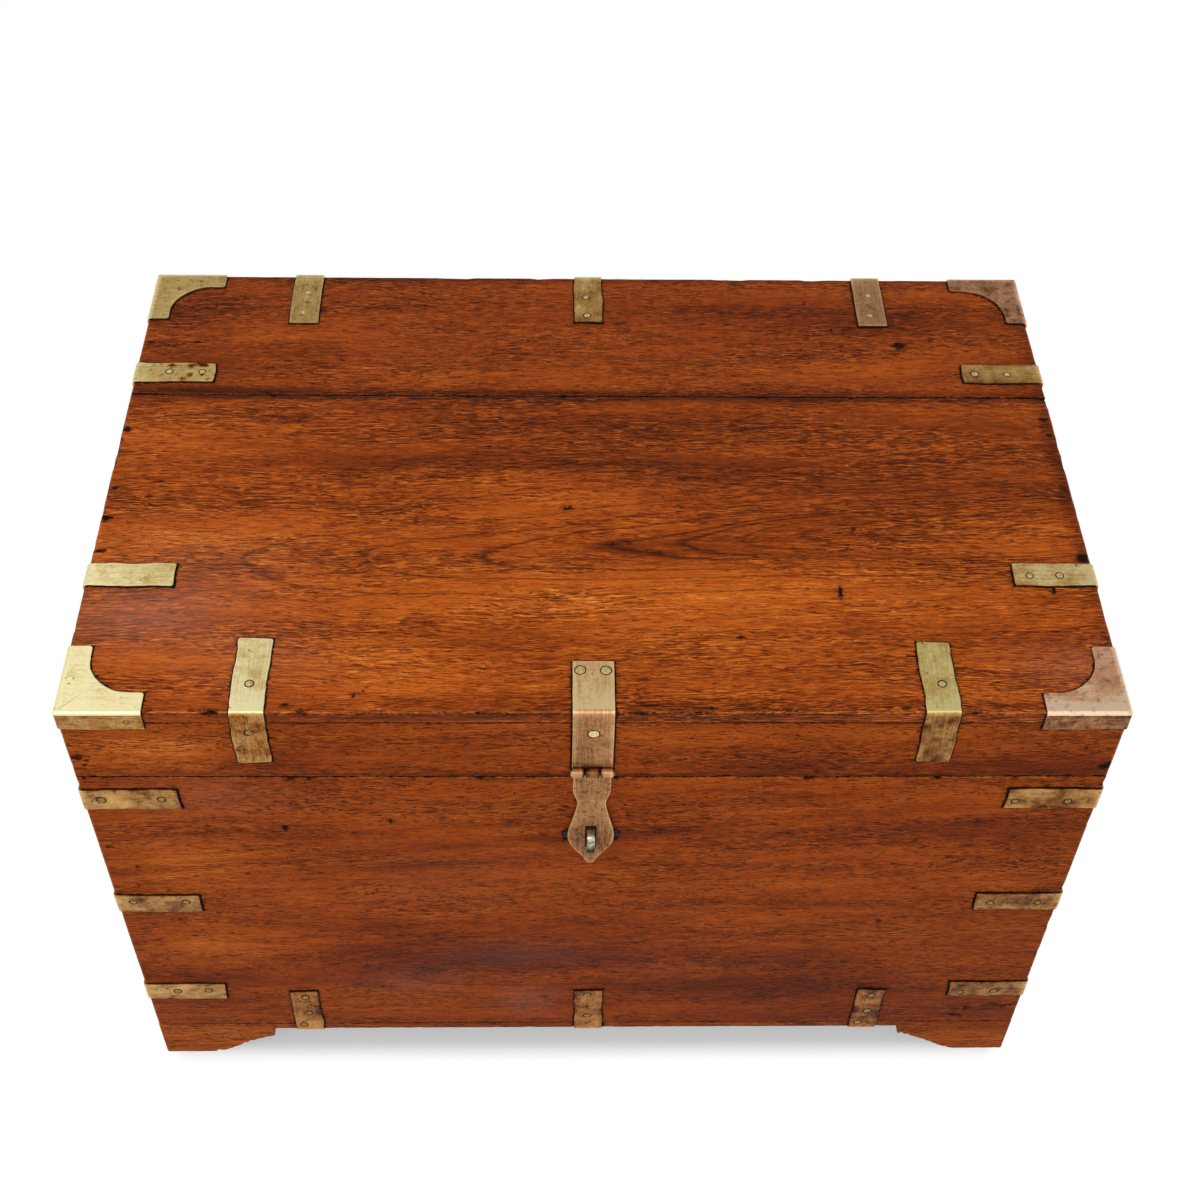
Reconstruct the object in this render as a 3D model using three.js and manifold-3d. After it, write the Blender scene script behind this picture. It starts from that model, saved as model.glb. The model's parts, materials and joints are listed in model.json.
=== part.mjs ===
// Campaign chest: a lidded travelling box of waxed hardwood, bound at its edges and corners
// with hand-cut brass straps, closed by a hasp and staple, and raised on a plinth with bracket feet.
// Millimetres. +Z is up, the front looks towards -Y, and the origin is on the floor under the
// middle of the whole outline.

import * as THREE from "three";
import { RoundedBoxGeometry } from "three/addons/geometries/RoundedBoxGeometry.js";
import { mergeVertices } from "three/addons/utils/BufferGeometryUtils.js";
import Module from "manifold-3d";

// Overall sizes, wood to wood
const chestWidth = 762;
const chestDepth = 492;
const chestHeight = 498;
const lidHeight = 76;
const plinthHeight = 52;

// Boards
const wallThickness = 15;
const wallLap = 5; // wood of a front or back board that covers an end board's end
const bottomThickness = 10;
const bottomRebate = 6; // how far the bottom board reaches into each wall
const lidRailThickness = 15;
const lidPlankThickness = 11.5;
const lidBackPlankWidth = 157;
const plinthThickness = 18;

// Fits
const joinGap = 0.3; // left between pieces that are fitted together
const lidSeam = 0.5; // under the closed lid
const bedding = 0.2; // between a brass sheet and the wood that it lies on
const turnClearance = 0.1; // round a pin in its knuckle
const sideClearance = 0.4; // between knuckles that turn past each other

// Bracket feet, cut out of the plinth boards
const footLength = 100;
const footPadLength = 44;
const footStepDrop = 14; // from the arch down to where the foot's curve starts
const plinthStrip = 9; // wood left over the arch
const archCornerRadius = 4;
const footCurveShares = [[0.3, 0.1], [0.5, 0.7]]; // of the curve's run and rise

// Straps round the edges
const strapThickness = 1.2;
const strapWidth = 25.4;
const strapCornerRadius = 2;
const foldInnerRadius = 0.4;
const lidStrapInset = 134; // from the end of the lid to the middle of a front or back strap
const lidStrapOnTop = 66;
const lidStrapRise = 18.5; // from the lid's seam up to a strap's end
const lidSideStrapInset = 130.5; // from the front or back face to the strap's middle
const cornerStrapWidth = 24;
const cornerStrapLeg = 70;
const upperStrapDrop = 27; // from the lid's seam to the strap's middle
const lowerStrapRise = 59; // from the plinth's seam to the strap's middle
const middleStrapShare = 0.495; // of the way from the lower strap to the upper one
const footStrapOnFace = 66;
const footStrapUnder = 14;
const footStrapClear = 21.3; // from a foot to the nearest strap

// Three-sided corner brackets on the lid
const bracketLeg = 60;
const bracketBand = 17;
const bracketTongue = 9; // straight end of a leg, past the hollow curve
const bracketEdgeRadius = 1.2;

// Lid hinges
const hingeSheet = 1.6;
const hingePinRadius = 2;
const hingeLeafLeg = 64;
const hingeCentreKnuckle = 9;
const pinHeadGrowth = 0.9;
const pinHeadDome = 1.4;

// Hasp
const haspCentre = -2;
const haspWidth = 30;
const haspSheet = 2;
const haspPinRadius = 1.8;
const haspPinRise = 10; // from the lid's seam up to the pin
const haspStrapOnTop = 46;
const haspCentreKnuckle = 11.3;
const haspLeafInset = 1; // of the leaf's head from each side of the strap
const haspLeafLength = 118; // from the pin to the tip
const haspShoulderDrop = 28;
const haspBulbWidth = 36;
const haspSlotDropShare = 0.695; // of the leaf's length, from the pin to the slot's middle
const haspSlotSideRoom = 1; // beside the staple
const haspSlotEndRoom = 3; // above and below the staple
const haspJoggleRadius = 6;
const haspJoggleTurn = THREE.MathUtils.degToRad(18);
const haspOutlineShares = [
  [0.31, 0.57], [0.4, 0.65], [0.5, 0.78], [0.6, 0.93], [0.69, 1], [0.78, 0.9], [0.86, 0.62],
  [0.91, 0.39], [0.95, 0.25], [0.985, 0.15], [1, 0.04],
]; // drop as a share of the leaf's length, half-width as a share of half the bulb
const rollTurn = THREE.MathUtils.degToRad(290);

// Staple and its plate
const stapleWidth = 6.2;
const stapleBar = 2.6;
const stapleHeight = 22;
const stapleReach = 14; // from the front board's face
const stapleEyeRadius = 2;
const stapleClenchRadius = 0.6;
const stapleClench = 12;
const staplePlateWidth = 44.5;
const staplePlateHeight = 40;
const staplePlateThickness = 1.5;
const staplePlateCorner = 3;
const leafOffPlate = 0.4;

// Carrying handles on the end boards
const handlePivotDrop = 122; // from the lid's seam
const handlePlateWidth = 124;
const handlePlateHeight = 40;
const handlePlateThickness = 2.5;
const handlePlateCorner = 7;
const handlePlateDrop = 3; // from the pivot to the plate's middle
const lugWall = 3.1; // round the bail's hole
const lugThickness = 9;
const pivotStandOff = 9; // from the plate's face
const bailArmOffset = 50; // from the middle to an arm's centre line
const bailDrop = 48;
const bailRadius = 4;
const bailGripSwell = 1.4;
const bailShoulderRadius = 8;
const bailCornerRadius = 16;
const bailPeen = 2.5;
const bailClearance = 0.4;
const handleGap = 0.6;

// Rounding of curved surfaces, and how far a cutting tool runs past what it cuts
const arcStep = THREE.MathUtils.degToRad(18);
const rodSides = 14;
const pinSides = 16;
const curveSegments = 8;
const overrun = 4;

// Places that follow from the sizes
const halfWidth = chestWidth / 2;
const halfDepth = chestDepth / 2;
const seamHeight = chestHeight - lidHeight;
const wallBottom = plinthHeight + joinGap;
const wallTop = seamHeight - lidSeam;
const railTop = chestHeight - lidPlankThickness - joinGap;
const archHeight = plinthHeight - plinthStrip;
const footStepHeight = archHeight - footStepDrop;
const lidStrapSpread = halfWidth - lidStrapInset;
const lidStrapOnFace = lidHeight - lidStrapRise;
const upperStrapHeight = seamHeight - upperStrapDrop;
const lowerStrapHeight = plinthHeight + lowerStrapRise;
const strapHeights = {
  upper: upperStrapHeight,
  middle: THREE.MathUtils.lerp(lowerStrapHeight, upperStrapHeight, middleStrapShare),
  lower: lowerStrapHeight,
};
const footStrapSpread = halfWidth - footLength - footStrapClear - strapWidth / 2;
const bracketHollowRadius = bracketLeg - bracketBand - bracketTongue;
const hingeBore = hingePinRadius + turnClearance;
const hingeAxisOffset = bedding + hingeSheet + hingeBore;
const hingeReach = hingeAxisOffset + hingeBore + hingeSheet;
const haspBore = haspPinRadius + turnClearance;
const haspAxisOffset = bedding + haspSheet + haspBore;
const haspAxisHeight = seamHeight + haspPinRise;
const haspPinDrop = lidHeight - haspPinRise;
const haspSlotDrop = haspLeafLength * haspSlotDropShare;
const haspSlotWidth = stapleWidth + 2 * haspSlotSideRoom;
const haspSlotLength = stapleHeight + 2 * haspSlotEndRoom;
const stapleCentreHeight = haspAxisHeight - haspSlotDrop;
const handlePivotHeight = seamHeight - handlePivotDrop;
const handlePivotReach = bedding + handlePlateThickness + pivotStandOff;
const lugRadius = bailRadius + bailClearance + lugWall;

const wasm = await Module();
wasm.setup();

// Turns a closed three.js geometry into a solid that can be cut and joined.
function toSolid(geometry) {
  const bare = new THREE.BufferGeometry();
  bare.setAttribute("position", geometry.getAttribute("position"));
  bare.setIndex(geometry.getIndex());
  const merged = mergeVertices(bare);
  const vertProperties = new Float32Array(merged.getAttribute("position").array);
  const triVerts = new Uint32Array(merged.getIndex().array);
  return new wasm.Manifold(new wasm.Mesh({ numProp: 3, vertProperties, triVerts }));
}

function toGeometry(solid) {
  const mesh = solid.getMesh();
  const geometry = new THREE.BufferGeometry();
  geometry.setAttribute("position", new THREE.BufferAttribute(mesh.vertProperties, 3));
  geometry.setIndex(new THREE.BufferAttribute(mesh.triVerts, 1));
  return geometry;
}

function cut(geometry, ...tools) {
  return toGeometry(tools.reduce((solid, tool) => solid.subtract(toSolid(tool)), toSolid(geometry)));
}

function join(geometry, ...others) {
  return toGeometry(others.reduce((solid, other) => solid.add(toSolid(other)), toSolid(geometry)));
}

function keepInside(geometry, limit) {
  return toGeometry(toSolid(geometry).intersect(toSolid(limit)));
}

// A box between two opposite corners.
function boxBetween([x0, y0, z0], [x1, y1, z1]) {
  const box = new THREE.BoxGeometry(x1 - x0, y1 - y0, z1 - z0);
  return box.translate((x0 + x1) / 2, (y0 + y1) / 2, (z0 + z1) / 2);
}

// Skins a row of rings, each a convex loop of the same number of points, and caps both ends.
function loft(rings) {
  const count = rings[0].length;
  const points = rings.flat();
  const faces = [];
  for (let start = 0; start + count < points.length; start += count) {
    for (let k = 0; k < count; k++) {
      const a = start + k;
      const b = start + ((k + 1) % count);
      faces.push(a, b, b + count, a, b + count, a + count);
    }
  }
  const last = points.length - count;
  for (let k = 1; k + 1 < count; k++) {
    faces.push(0, k + 1, k);
    faces.push(last, last + k, last + k + 1);
  }
  const geometry = new THREE.BufferGeometry().setFromPoints(points);
  geometry.setIndex(faces);
  return geometry;
}

// Walks a middle line through its steps in a plane, each a straight run or a turn of some radius.
// Every station holds its place (u, v), its heading and its length from the start.
function walk(start, steps) {
  let { u, v, heading } = start;
  let length = 0;
  const stations = [{ u, v, heading, length }];
  for (const { run = 0, turn = 0, radius = 0 } of steps) {
    const side = radius * Math.sign(turn);
    const parts = Math.ceil(Math.abs(turn) / arcStep);
    const centreU = u - Math.sin(heading) * side;
    const centreV = v + Math.cos(heading) * side;
    for (let part = 0; part < parts; part++) {
      heading += turn / parts;
      u = centreU + Math.sin(heading) * side;
      v = centreV - Math.cos(heading) * side;
      length += (Math.abs(turn) / parts) * radius;
      stations.push({ u, v, heading, length });
    }
    if (run) {
      u += Math.cos(heading) * run;
      v += Math.sin(heading) * run;
      length += run;
      stations.push({ u, v, heading, length });
    }
  }
  return stations;
}

// The station at one length along a walk, between its neighbours.
function stationAt(stations, length) {
  const next = Math.max(1, stations.findIndex((station) => station.length >= length));
  const before = stations[next - 1];
  const after = stations[next];
  const share = (length - before.length) / (after.length - before.length);
  const between = (key) => THREE.MathUtils.lerp(before[key], after[key], share);
  return { u: between("u"), v: between("v"), heading: between("heading"), length };
}

// A sheet of one thickness laid along a walk. widthAt gives half its width at each length, and
// extraLengths are further places where that width needs a station.
function bentSheet(stations, thickness, widthAt, extraLengths = []) {
  const lengths = [...stations.map((station) => station.length), ...extraLengths];
  const ordered = [...new Set(lengths)].sort((a, b) => a - b);
  const rings = ordered.map((length) => {
    const { u, v, heading } = stationAt(stations, length);
    const half = widthAt(length);
    const offU = (-Math.sin(heading) * thickness) / 2;
    const offV = (Math.cos(heading) * thickness) / 2;
    return [
      new THREE.Vector3(u + offU, v + offV, half),
      new THREE.Vector3(u - offU, v - offV, half),
      new THREE.Vector3(u - offU, v - offV, -half),
      new THREE.Vector3(u + offU, v + offV, -half),
    ];
  });
  return loft(rings);
}

// A strip of even width whose free ends have rounded corners.
function bentStrip(stations, thickness, width, roundStart = true, roundEnd = true) {
  const total = stations[stations.length - 1].length;
  const radius = strapCornerRadius;
  const quarterShares = [0.07, 0.3, 0.65, 1]; // of the corner's radius, closer where it turns most
  const inset = (reach) => radius - Math.sqrt(radius * radius - (radius - reach) ** 2);
  const widthAt = (length) => {
    const fromEnd = roundEnd ? total - length : radius;
    const reach = Math.min(roundStart ? length : radius, fromEnd, radius);
    return width / 2 - inset(Math.max(reach, 0));
  };
  const extra = quarterShares.flatMap((share) => [
    ...(roundStart ? [share * radius] : []),
    ...(roundEnd ? [total - share * radius] : []),
  ]);
  return bentSheet(stations, thickness, widthAt, extra);
}

// A round rod along a walk, with its radius given at each length.
function bentRod(stations, radiusAt) {
  const rings = stations.map(({ u, v, heading, length }) => {
    const radius = radiusAt(length);
    return Array.from({ length: rodSides }, (_, side) => {
      const angle = (side / rodSides) * Math.PI * 2;
      const across = Math.cos(angle) * radius;
      return new THREE.Vector3(
        u - Math.sin(heading) * across,
        v + Math.cos(heading) * across,
        Math.sin(angle) * radius,
      );
    });
  });
  return loft(rings);
}

// A plain pin along X with a low domed head at each end.
function headedPin(radius, length) {
  const half = length / 2;
  const headRadius = radius + pinHeadGrowth;
  const dome = new THREE.QuadraticBezierCurve(
    new THREE.Vector2(headRadius, half),
    new THREE.Vector2(headRadius, half + pinHeadDome),
    new THREE.Vector2(0, half + pinHeadDome),
  ).getPoints(curveSegments / 2);
  const upper = [new THREE.Vector2(radius, half), ...dome];
  const lower = upper.map((point) => new THREE.Vector2(point.x, -point.y)).reverse();
  return new THREE.LatheGeometry([...lower, ...upper], pinSides).rotateZ(Math.PI / 2);
}

const chest = new THREE.Group();

// A group that turns about a pivot. Its pieces are added in the chest's own coordinates.
function turningGroup(parent, pivot) {
  const turning = new THREE.Group();
  const inner = new THREE.Group();
  turning.position.copy(pivot);
  inner.position.copy(pivot).negate();
  turning.add(inner);
  parent.add(turning);
  return inner;
}

const finishes = {
  topWood: { color: "#9c4a1c", roughness: 0.42, metalness: 0 },
  frontWood: { color: "#7f3413", roughness: 0.45, metalness: 0 },
  plinthWood: { color: "#6a2a12", roughness: 0.5, metalness: 0 },
  bareWood: { color: "#8a6446", roughness: 0.75, metalness: 0 },
  yellowBrass: { color: "#c2a862", roughness: 0.35, metalness: 0.9 },
  agedBrass: { color: "#8f733f", roughness: 0.45, metalness: 0.85 },
  redBrass: { color: "#a98462", roughness: 0.38, metalness: 0.9 },
  blackIron: { color: "#2b2521", roughness: 0.6, metalness: 0.7 },
  brightSteel: { color: "#b9b6ae", roughness: 0.3, metalness: 1 },
};

function addPiece(parent, name, geometry, finish, matrix = new THREE.Matrix4()) {
  const mesh = new THREE.Mesh(geometry, new THREE.MeshStandardMaterial(finishes[finish]));
  mesh.name = name;
  mesh.applyMatrix4(matrix);
  parent.add(mesh);
  return mesh;
}

// The placing of a strip made round an edge: u runs over one face from the edge, v over the other.
function edgeFrame(edge, alongU, alongV) {
  const frame = new THREE.Matrix4();
  frame.makeBasis(alongU, alongV, new THREE.Vector3().crossVectors(alongU, alongV));
  return frame.setPosition(edge);
}

const towards = (x, y, z) => new THREE.Vector3(x, y, z);

// Steps that lay a sheet over a square edge, from its end on one face to its end on the other.
function overEdge(sheet, legU, legV) {
  const middle = bedding + sheet / 2;
  const start = { u: legU, v: -middle, heading: Math.PI };
  const straight = foldInnerRadius - bedding;
  const steps = [
    { run: legU - straight },
    { turn: -Math.PI / 2, radius: foldInnerRadius + sheet / 2 },
    { run: legV - straight },
  ];
  return { start, steps };
}

function edgeStrap(legU, legV, width) {
  const { start, steps } = overEdge(strapThickness, legU, legV);
  return bentStrip(walk(start, steps), strapThickness, width);
}

// Front and back boards of a frame, seen from above: each laps over the ends of the end boards.
function lappedBoard(thickness, bottom, top) {
  const inside = halfWidth - thickness - joinGap;
  const plan = new THREE.Shape();
  plan.moveTo(-halfWidth, 0);
  plan.lineTo(halfWidth, 0);
  plan.lineTo(halfWidth, wallLap);
  plan.lineTo(inside, wallLap);
  plan.lineTo(inside, thickness);
  plan.lineTo(-inside, thickness);
  plan.lineTo(-inside, wallLap);
  plan.lineTo(-halfWidth, wallLap);
  plan.closePath();
  const board = new THREE.ExtrudeGeometry(plan, { depth: top - bottom, bevelEnabled: false });
  return board.translate(0, -halfDepth, bottom);
}

function endBoard(thickness, bottom, top) {
  const reach = halfDepth - wallLap - joinGap;
  return boxBetween([halfWidth - thickness, -reach, bottom], [halfWidth, reach, top]);
}

// The groove along a board's lower inside edge that takes the bottom board.
function bottomGroove(side) {
  const depth = wallThickness - bottomRebate;
  const low = wallBottom - overrun;
  const high = wallBottom + bottomThickness + joinGap;
  if (side === "front") {
    return boxBetween([-chestWidth, depth - halfDepth, low], [chestWidth, 0, high]);
  }
  return boxBetween([0, -chestDepth, low], [halfWidth - depth, chestDepth, high]);
}

const halfTurn = new THREE.Matrix4().makeRotationZ(Math.PI);

function addWalls(parent) {
  const front = cut(lappedBoard(wallThickness, wallBottom, wallTop), bottomGroove("front"));
  addPiece(parent, "front_board", cut(front, ...stapleHoles()), "frontWood");
  addPiece(parent, "back_board", front, "frontWood", halfTurn);
  const end = cut(endBoard(wallThickness, wallBottom, wallTop), bottomGroove("end"));
  addPiece(parent, "end_board_right", end, "frontWood");
  addPiece(parent, "end_board_left", end, "frontWood", halfTurn);
  const inX = halfWidth - wallThickness + bottomRebate - joinGap;
  const inY = halfDepth - wallThickness + bottomRebate - joinGap;
  const bottom = boxBetween([-inX, -inY, wallBottom], [inX, inY, wallBottom + bottomThickness]);
  addPiece(parent, "bottom_board", bottom, "bareWood");
}

// Face of a plinth board: a bracket foot at each end and a shallow strip between them.
function plinthFace(length) {
  const end = length / 2;
  const run = footLength - footPadLength;
  const [[lead1, rise1], [lead2, rise2]] = footCurveShares;
  const padEnd = end - footPadLength;
  const stepAt = end - footLength;
  const face = new THREE.Shape();
  face.moveTo(-end, 0);
  face.lineTo(-padEnd, 0);
  face.bezierCurveTo(
    -padEnd + run * lead1, footStepHeight * rise1,
    -padEnd + run * lead2, footStepHeight * rise2,
    -stepAt, footStepHeight,
  );
  face.absarc(-stepAt + archCornerRadius, archHeight - archCornerRadius, archCornerRadius,
    Math.PI, Math.PI / 2, true);
  face.absarc(stepAt - archCornerRadius, archHeight - archCornerRadius, archCornerRadius,
    Math.PI / 2, 0, true);
  face.lineTo(stepAt, footStepHeight);
  face.bezierCurveTo(
    padEnd - run * lead2, footStepHeight * rise2,
    padEnd - run * lead1, footStepHeight * rise1,
    padEnd, 0,
  );
  face.lineTo(end, 0);
  face.lineTo(end, plinthHeight);
  face.lineTo(-end, plinthHeight);
  face.closePath();
  return face;
}

// A plinth board with its outer face at y = 0 and both ends mitred.
function plinthBoard(length) {
  const options = { depth: plinthThickness, bevelEnabled: false, curveSegments };
  const board = new THREE.ExtrudeGeometry(plinthFace(length), options);
  board.rotateX(Math.PI / 2).translate(0, plinthThickness, 0);
  const outer = length / 2 - joinGap;
  const mitre = new THREE.Shape();
  mitre.moveTo(-outer - overrun, -overrun);
  mitre.lineTo(outer + overrun, -overrun);
  mitre.lineTo(outer - plinthThickness - overrun, plinthThickness + overrun);
  mitre.lineTo(plinthThickness + overrun - outer, plinthThickness + overrun);
  mitre.closePath();
  const depth = plinthHeight + overrun + overrun;
  const limit = new THREE.ExtrudeGeometry(mitre, { depth, bevelEnabled: false });
  return keepInside(board, limit.translate(0, 0, -overrun));
}

function addPlinth(parent) {
  const long = plinthBoard(chestWidth).translate(0, -halfDepth, 0);
  const short = plinthBoard(chestDepth).translate(0, -halfWidth, 0);
  const quarter = new THREE.Matrix4().makeRotationZ(Math.PI / 2);
  const threeQuarters = new THREE.Matrix4().makeRotationZ(-Math.PI / 2);
  addPiece(parent, "plinth_front", long, "plinthWood");
  addPiece(parent, "plinth_back", long, "plinthWood", halfTurn);
  addPiece(parent, "plinth_right", short, "plinthWood", quarter);
  addPiece(parent, "plinth_left", short, "plinthWood", threeQuarters);
}

// Straps round the four upright corners of the box, and round the lower edge of front and back.
function addBoxStraps(parent) {
  const cornerStrap = edgeStrap(cornerStrapLeg, cornerStrapLeg, cornerStrapWidth);
  const footStrap = edgeStrap(footStrapOnFace, footStrapUnder, strapWidth);
  const sides = { left: -1, right: 1 };
  const faces = { front: -1, back: 1 };
  for (const [faceName, face] of Object.entries(faces)) {
    for (const [sideName, side] of Object.entries(sides)) {
      for (const [level, height] of Object.entries(strapHeights)) {
        const edge = towards(side * halfWidth, face * halfDepth, height);
        const frame = edgeFrame(edge, towards(-side, 0, 0), towards(0, -face, 0));
        const name = `corner_strap_${faceName}_${sideName}_${level}`;
        addPiece(parent, name, cornerStrap, "agedBrass", frame);
      }
    }
    for (const [place, step] of Object.entries({ left: -1, centre: 0, right: 1 })) {
      const edge = towards(step * footStrapSpread, face * halfDepth, archHeight);
      const frame = edgeFrame(edge, towards(0, 0, 1), towards(0, -face, 0));
      addPiece(parent, `foot_strap_${faceName}_${place}`, footStrap, "agedBrass", frame);
    }
  }
}

function addLidBoards(parent) {
  const longRail = lappedBoard(lidRailThickness, seamHeight, railTop);
  const endRail = endBoard(lidRailThickness, seamHeight, railTop);
  addPiece(parent, "lid_rail_front", longRail, "frontWood");
  addPiece(parent, "lid_rail_back", longRail, "frontWood", halfTurn);
  addPiece(parent, "lid_rail_right", endRail, "frontWood");
  addPiece(parent, "lid_rail_left", endRail, "frontWood", halfTurn);
  const plankBottom = chestHeight - lidPlankThickness;
  const backEdge = halfDepth - lidBackPlankWidth;
  const frontEdge = backEdge - joinGap;
  const frontPlank = boxBetween(
    [-halfWidth, -halfDepth, plankBottom],
    [halfWidth, frontEdge, chestHeight],
  );
  const backPlank = boxBetween(
    [-halfWidth, backEdge, plankBottom],
    [halfWidth, halfDepth, chestHeight],
  );
  addPiece(parent, "lid_plank_front", frontPlank, "topWood");
  addPiece(parent, "lid_plank_back", backPlank, "topWood");
}

// One lid corner bracket, with the wood's corner at its origin and the wood in +u, +v, below z = 0.
// A hollow curve joins the two bands on top, and a band folds down over each upright face.
function cornerBracket() {
  const outside = bedding + strapThickness;
  const hollow = bracketBand + bracketHollowRadius;
  const plan = new THREE.Shape();
  plan.moveTo(-outside, -outside);
  plan.lineTo(bracketLeg, -outside);
  plan.lineTo(bracketLeg, bracketBand - strapCornerRadius);
  plan.lineTo(bracketLeg - strapCornerRadius, bracketBand);
  plan.lineTo(hollow, bracketBand);
  plan.absarc(hollow, hollow, bracketHollowRadius, -Math.PI / 2, -Math.PI, true);
  plan.lineTo(bracketBand, bracketLeg - strapCornerRadius);
  plan.lineTo(bracketBand - strapCornerRadius, bracketLeg);
  plan.lineTo(-outside, bracketLeg);
  plan.closePath();
  const options = { depth: strapThickness, bevelEnabled: false, curveSegments };
  const top = new THREE.ExtrudeGeometry(plan, options).translate(0, 0, bedding);
  const faceU = boxBetween([-outside, -outside, -bracketBand], [bracketLeg, -bedding, outside]);
  const faceV = boxBetween([-outside, -outside, -bracketBand], [-bedding, bracketLeg, outside]);
  const size = chestHeight;
  const soft = new RoundedBoxGeometry(size, size, size, 2, bracketEdgeRadius);
  soft.translate(size / 2 - outside, size / 2 - outside, outside - size / 2);
  return keepInside(join(top, faceU, faceV), soft);
}

function addLidCorners(parent) {
  const bracket = cornerBracket();
  const corners = {
    front_left: { x: -1, y: -1, turn: 0, finish: "yellowBrass" },
    front_right: { x: 1, y: -1, turn: 1, finish: "redBrass" },
    back_right: { x: 1, y: 1, turn: 2, finish: "redBrass" },
    back_left: { x: -1, y: 1, turn: 3, finish: "yellowBrass" },
  };
  for (const [name, { x, y, turn, finish }] of Object.entries(corners)) {
    const frame = new THREE.Matrix4().makeRotationZ((turn * Math.PI) / 2);
    frame.setPosition(x * halfWidth, y * halfDepth, chestHeight);
    addPiece(parent, `lid_corner_${name}`, bracket, finish, frame);
  }
}

function addLidStraps(parent) {
  const strap = edgeStrap(lidStrapOnTop, lidStrapOnFace, strapWidth);
  const sideStrap = edgeStrap(lidStrapOnTop, lidStrapOnFace, cornerStrapWidth);
  const down = towards(0, 0, -1);
  for (const [sideName, side] of Object.entries({ left: -1, right: 1 })) {
    const finish = side < 0 ? "yellowBrass" : "agedBrass";
    const edge = towards(side * lidStrapSpread, -halfDepth, chestHeight);
    const frame = edgeFrame(edge, towards(0, 1, 0), down);
    addPiece(parent, `lid_strap_front_${sideName}`, strap, finish, frame);
    for (const [faceName, face] of Object.entries({ front: -1, back: 1 })) {
      const y = face * (halfDepth - lidSideStrapInset);
      const sideEdge = towards(side * halfWidth, y, chestHeight);
      const sideFrame = edgeFrame(sideEdge, towards(-side, 0, 0), down);
      addPiece(parent, `lid_strap_${sideName}_${faceName}`, sideStrap, finish, sideFrame);
    }
  }
  const backEdge = towards(0, halfDepth, chestHeight);
  const backFrame = edgeFrame(backEdge, towards(0, -1, 0), down);
  addPiece(parent, "lid_strap_back_centre", strap, "yellowBrass", backFrame);
}

// Steps for a strap over an edge that ends in a knuckle rolled outwards round a pin.
function rolledOverEdge(sheet, legU, pinDrop, bore) {
  const { start, steps } = overEdge(sheet, legU, pinDrop);
  return walk(start, [...steps, { turn: rollTurn, radius: bore + sheet / 2 }]);
}

// A leaf that lies on the face below the pin, and rolls up and outwards round it.
function rolledFromBelow(sheet, leg, pinDrop, bore) {
  const start = { u: -bedding - sheet / 2, v: pinDrop + leg, heading: -Math.PI / 2 };
  return walk(start, [{ run: leg }, { turn: -rollTurn, radius: bore + sheet / 2 }]);
}

// Room for the other leaf's knuckle, between two places across the strip, above or below the pin.
function knuckleRoom(from, to, pinDrop, sheet, bore, side) {
  const reach = bore + sheet + sideClearance;
  const outside = bedding + sheet + bore + reach + overrun;
  const low = side < 0 ? pinDrop - reach : pinDrop - reach - overrun;
  const high = side < 0 ? pinDrop + reach + overrun : pinDrop + reach;
  return boxBetween([-outside, low, from], [overrun, high, to]);
}

// Both leaves of a lid hinge: the lid's has the middle knuckle and the box's has the outer two.
function hingeLeaves() {
  const edge = strapWidth / 2;
  const middle = hingeCentreKnuckle / 2;
  const room = middle + sideClearance;
  const lidWalk = rolledOverEdge(hingeSheet, lidStrapOnTop, lidHeight, hingeBore);
  const lidLeaf = cut(
    bentStrip(lidWalk, hingeSheet, strapWidth, true, false),
    knuckleRoom(middle, edge + overrun, lidHeight, hingeSheet, hingeBore, -1),
    knuckleRoom(-edge - overrun, -middle, lidHeight, hingeSheet, hingeBore, -1),
  );
  const boxWalk = rolledFromBelow(hingeSheet, hingeLeafLeg, lidHeight, hingeBore);
  const boxLeaf = cut(
    bentStrip(boxWalk, hingeSheet, strapWidth, true, false),
    knuckleRoom(-room, room, lidHeight, hingeSheet, hingeBore, 1),
  );
  return { lidLeaf, boxLeaf };
}

function addHinges(box, lid) {
  const { lidLeaf, boxLeaf } = hingeLeaves();
  const pin = headedPin(hingePinRadius, strapWidth + sideClearance);
  for (const [sideName, side] of Object.entries({ left: -1, right: 1 })) {
    const edge = towards(side * lidStrapSpread, halfDepth, chestHeight);
    const frame = edgeFrame(edge, towards(0, -1, 0), towards(0, 0, -1));
    const finish = side < 0 ? "yellowBrass" : "redBrass";
    addPiece(lid, `hinge_strap_${sideName}`, lidLeaf, finish, frame);
    addPiece(box, `hinge_leaf_${sideName}`, boxLeaf, finish, frame);
    const axis = new THREE.Matrix4();
    axis.setPosition(side * lidStrapSpread, halfDepth + hingeAxisOffset, seamHeight);
    addPiece(box, `hinge_pin_${sideName}`, pin, "agedBrass", axis);
  }
}

// Half the hasp leaf's width at a drop below the pin.
function leafOutline() {
  const half = haspBulbWidth / 2;
  const shaped = haspOutlineShares.map(([drop, share]) => ({
    drop: drop * haspLeafLength,
    half: share * half,
  }));
  const head = [
    { drop: 0, half: haspWidth / 2 - haspLeafInset },
    { drop: haspShoulderDrop, half: haspWidth / 2 - haspLeafInset },
  ];
  return [...head, ...shaped];
}

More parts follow.
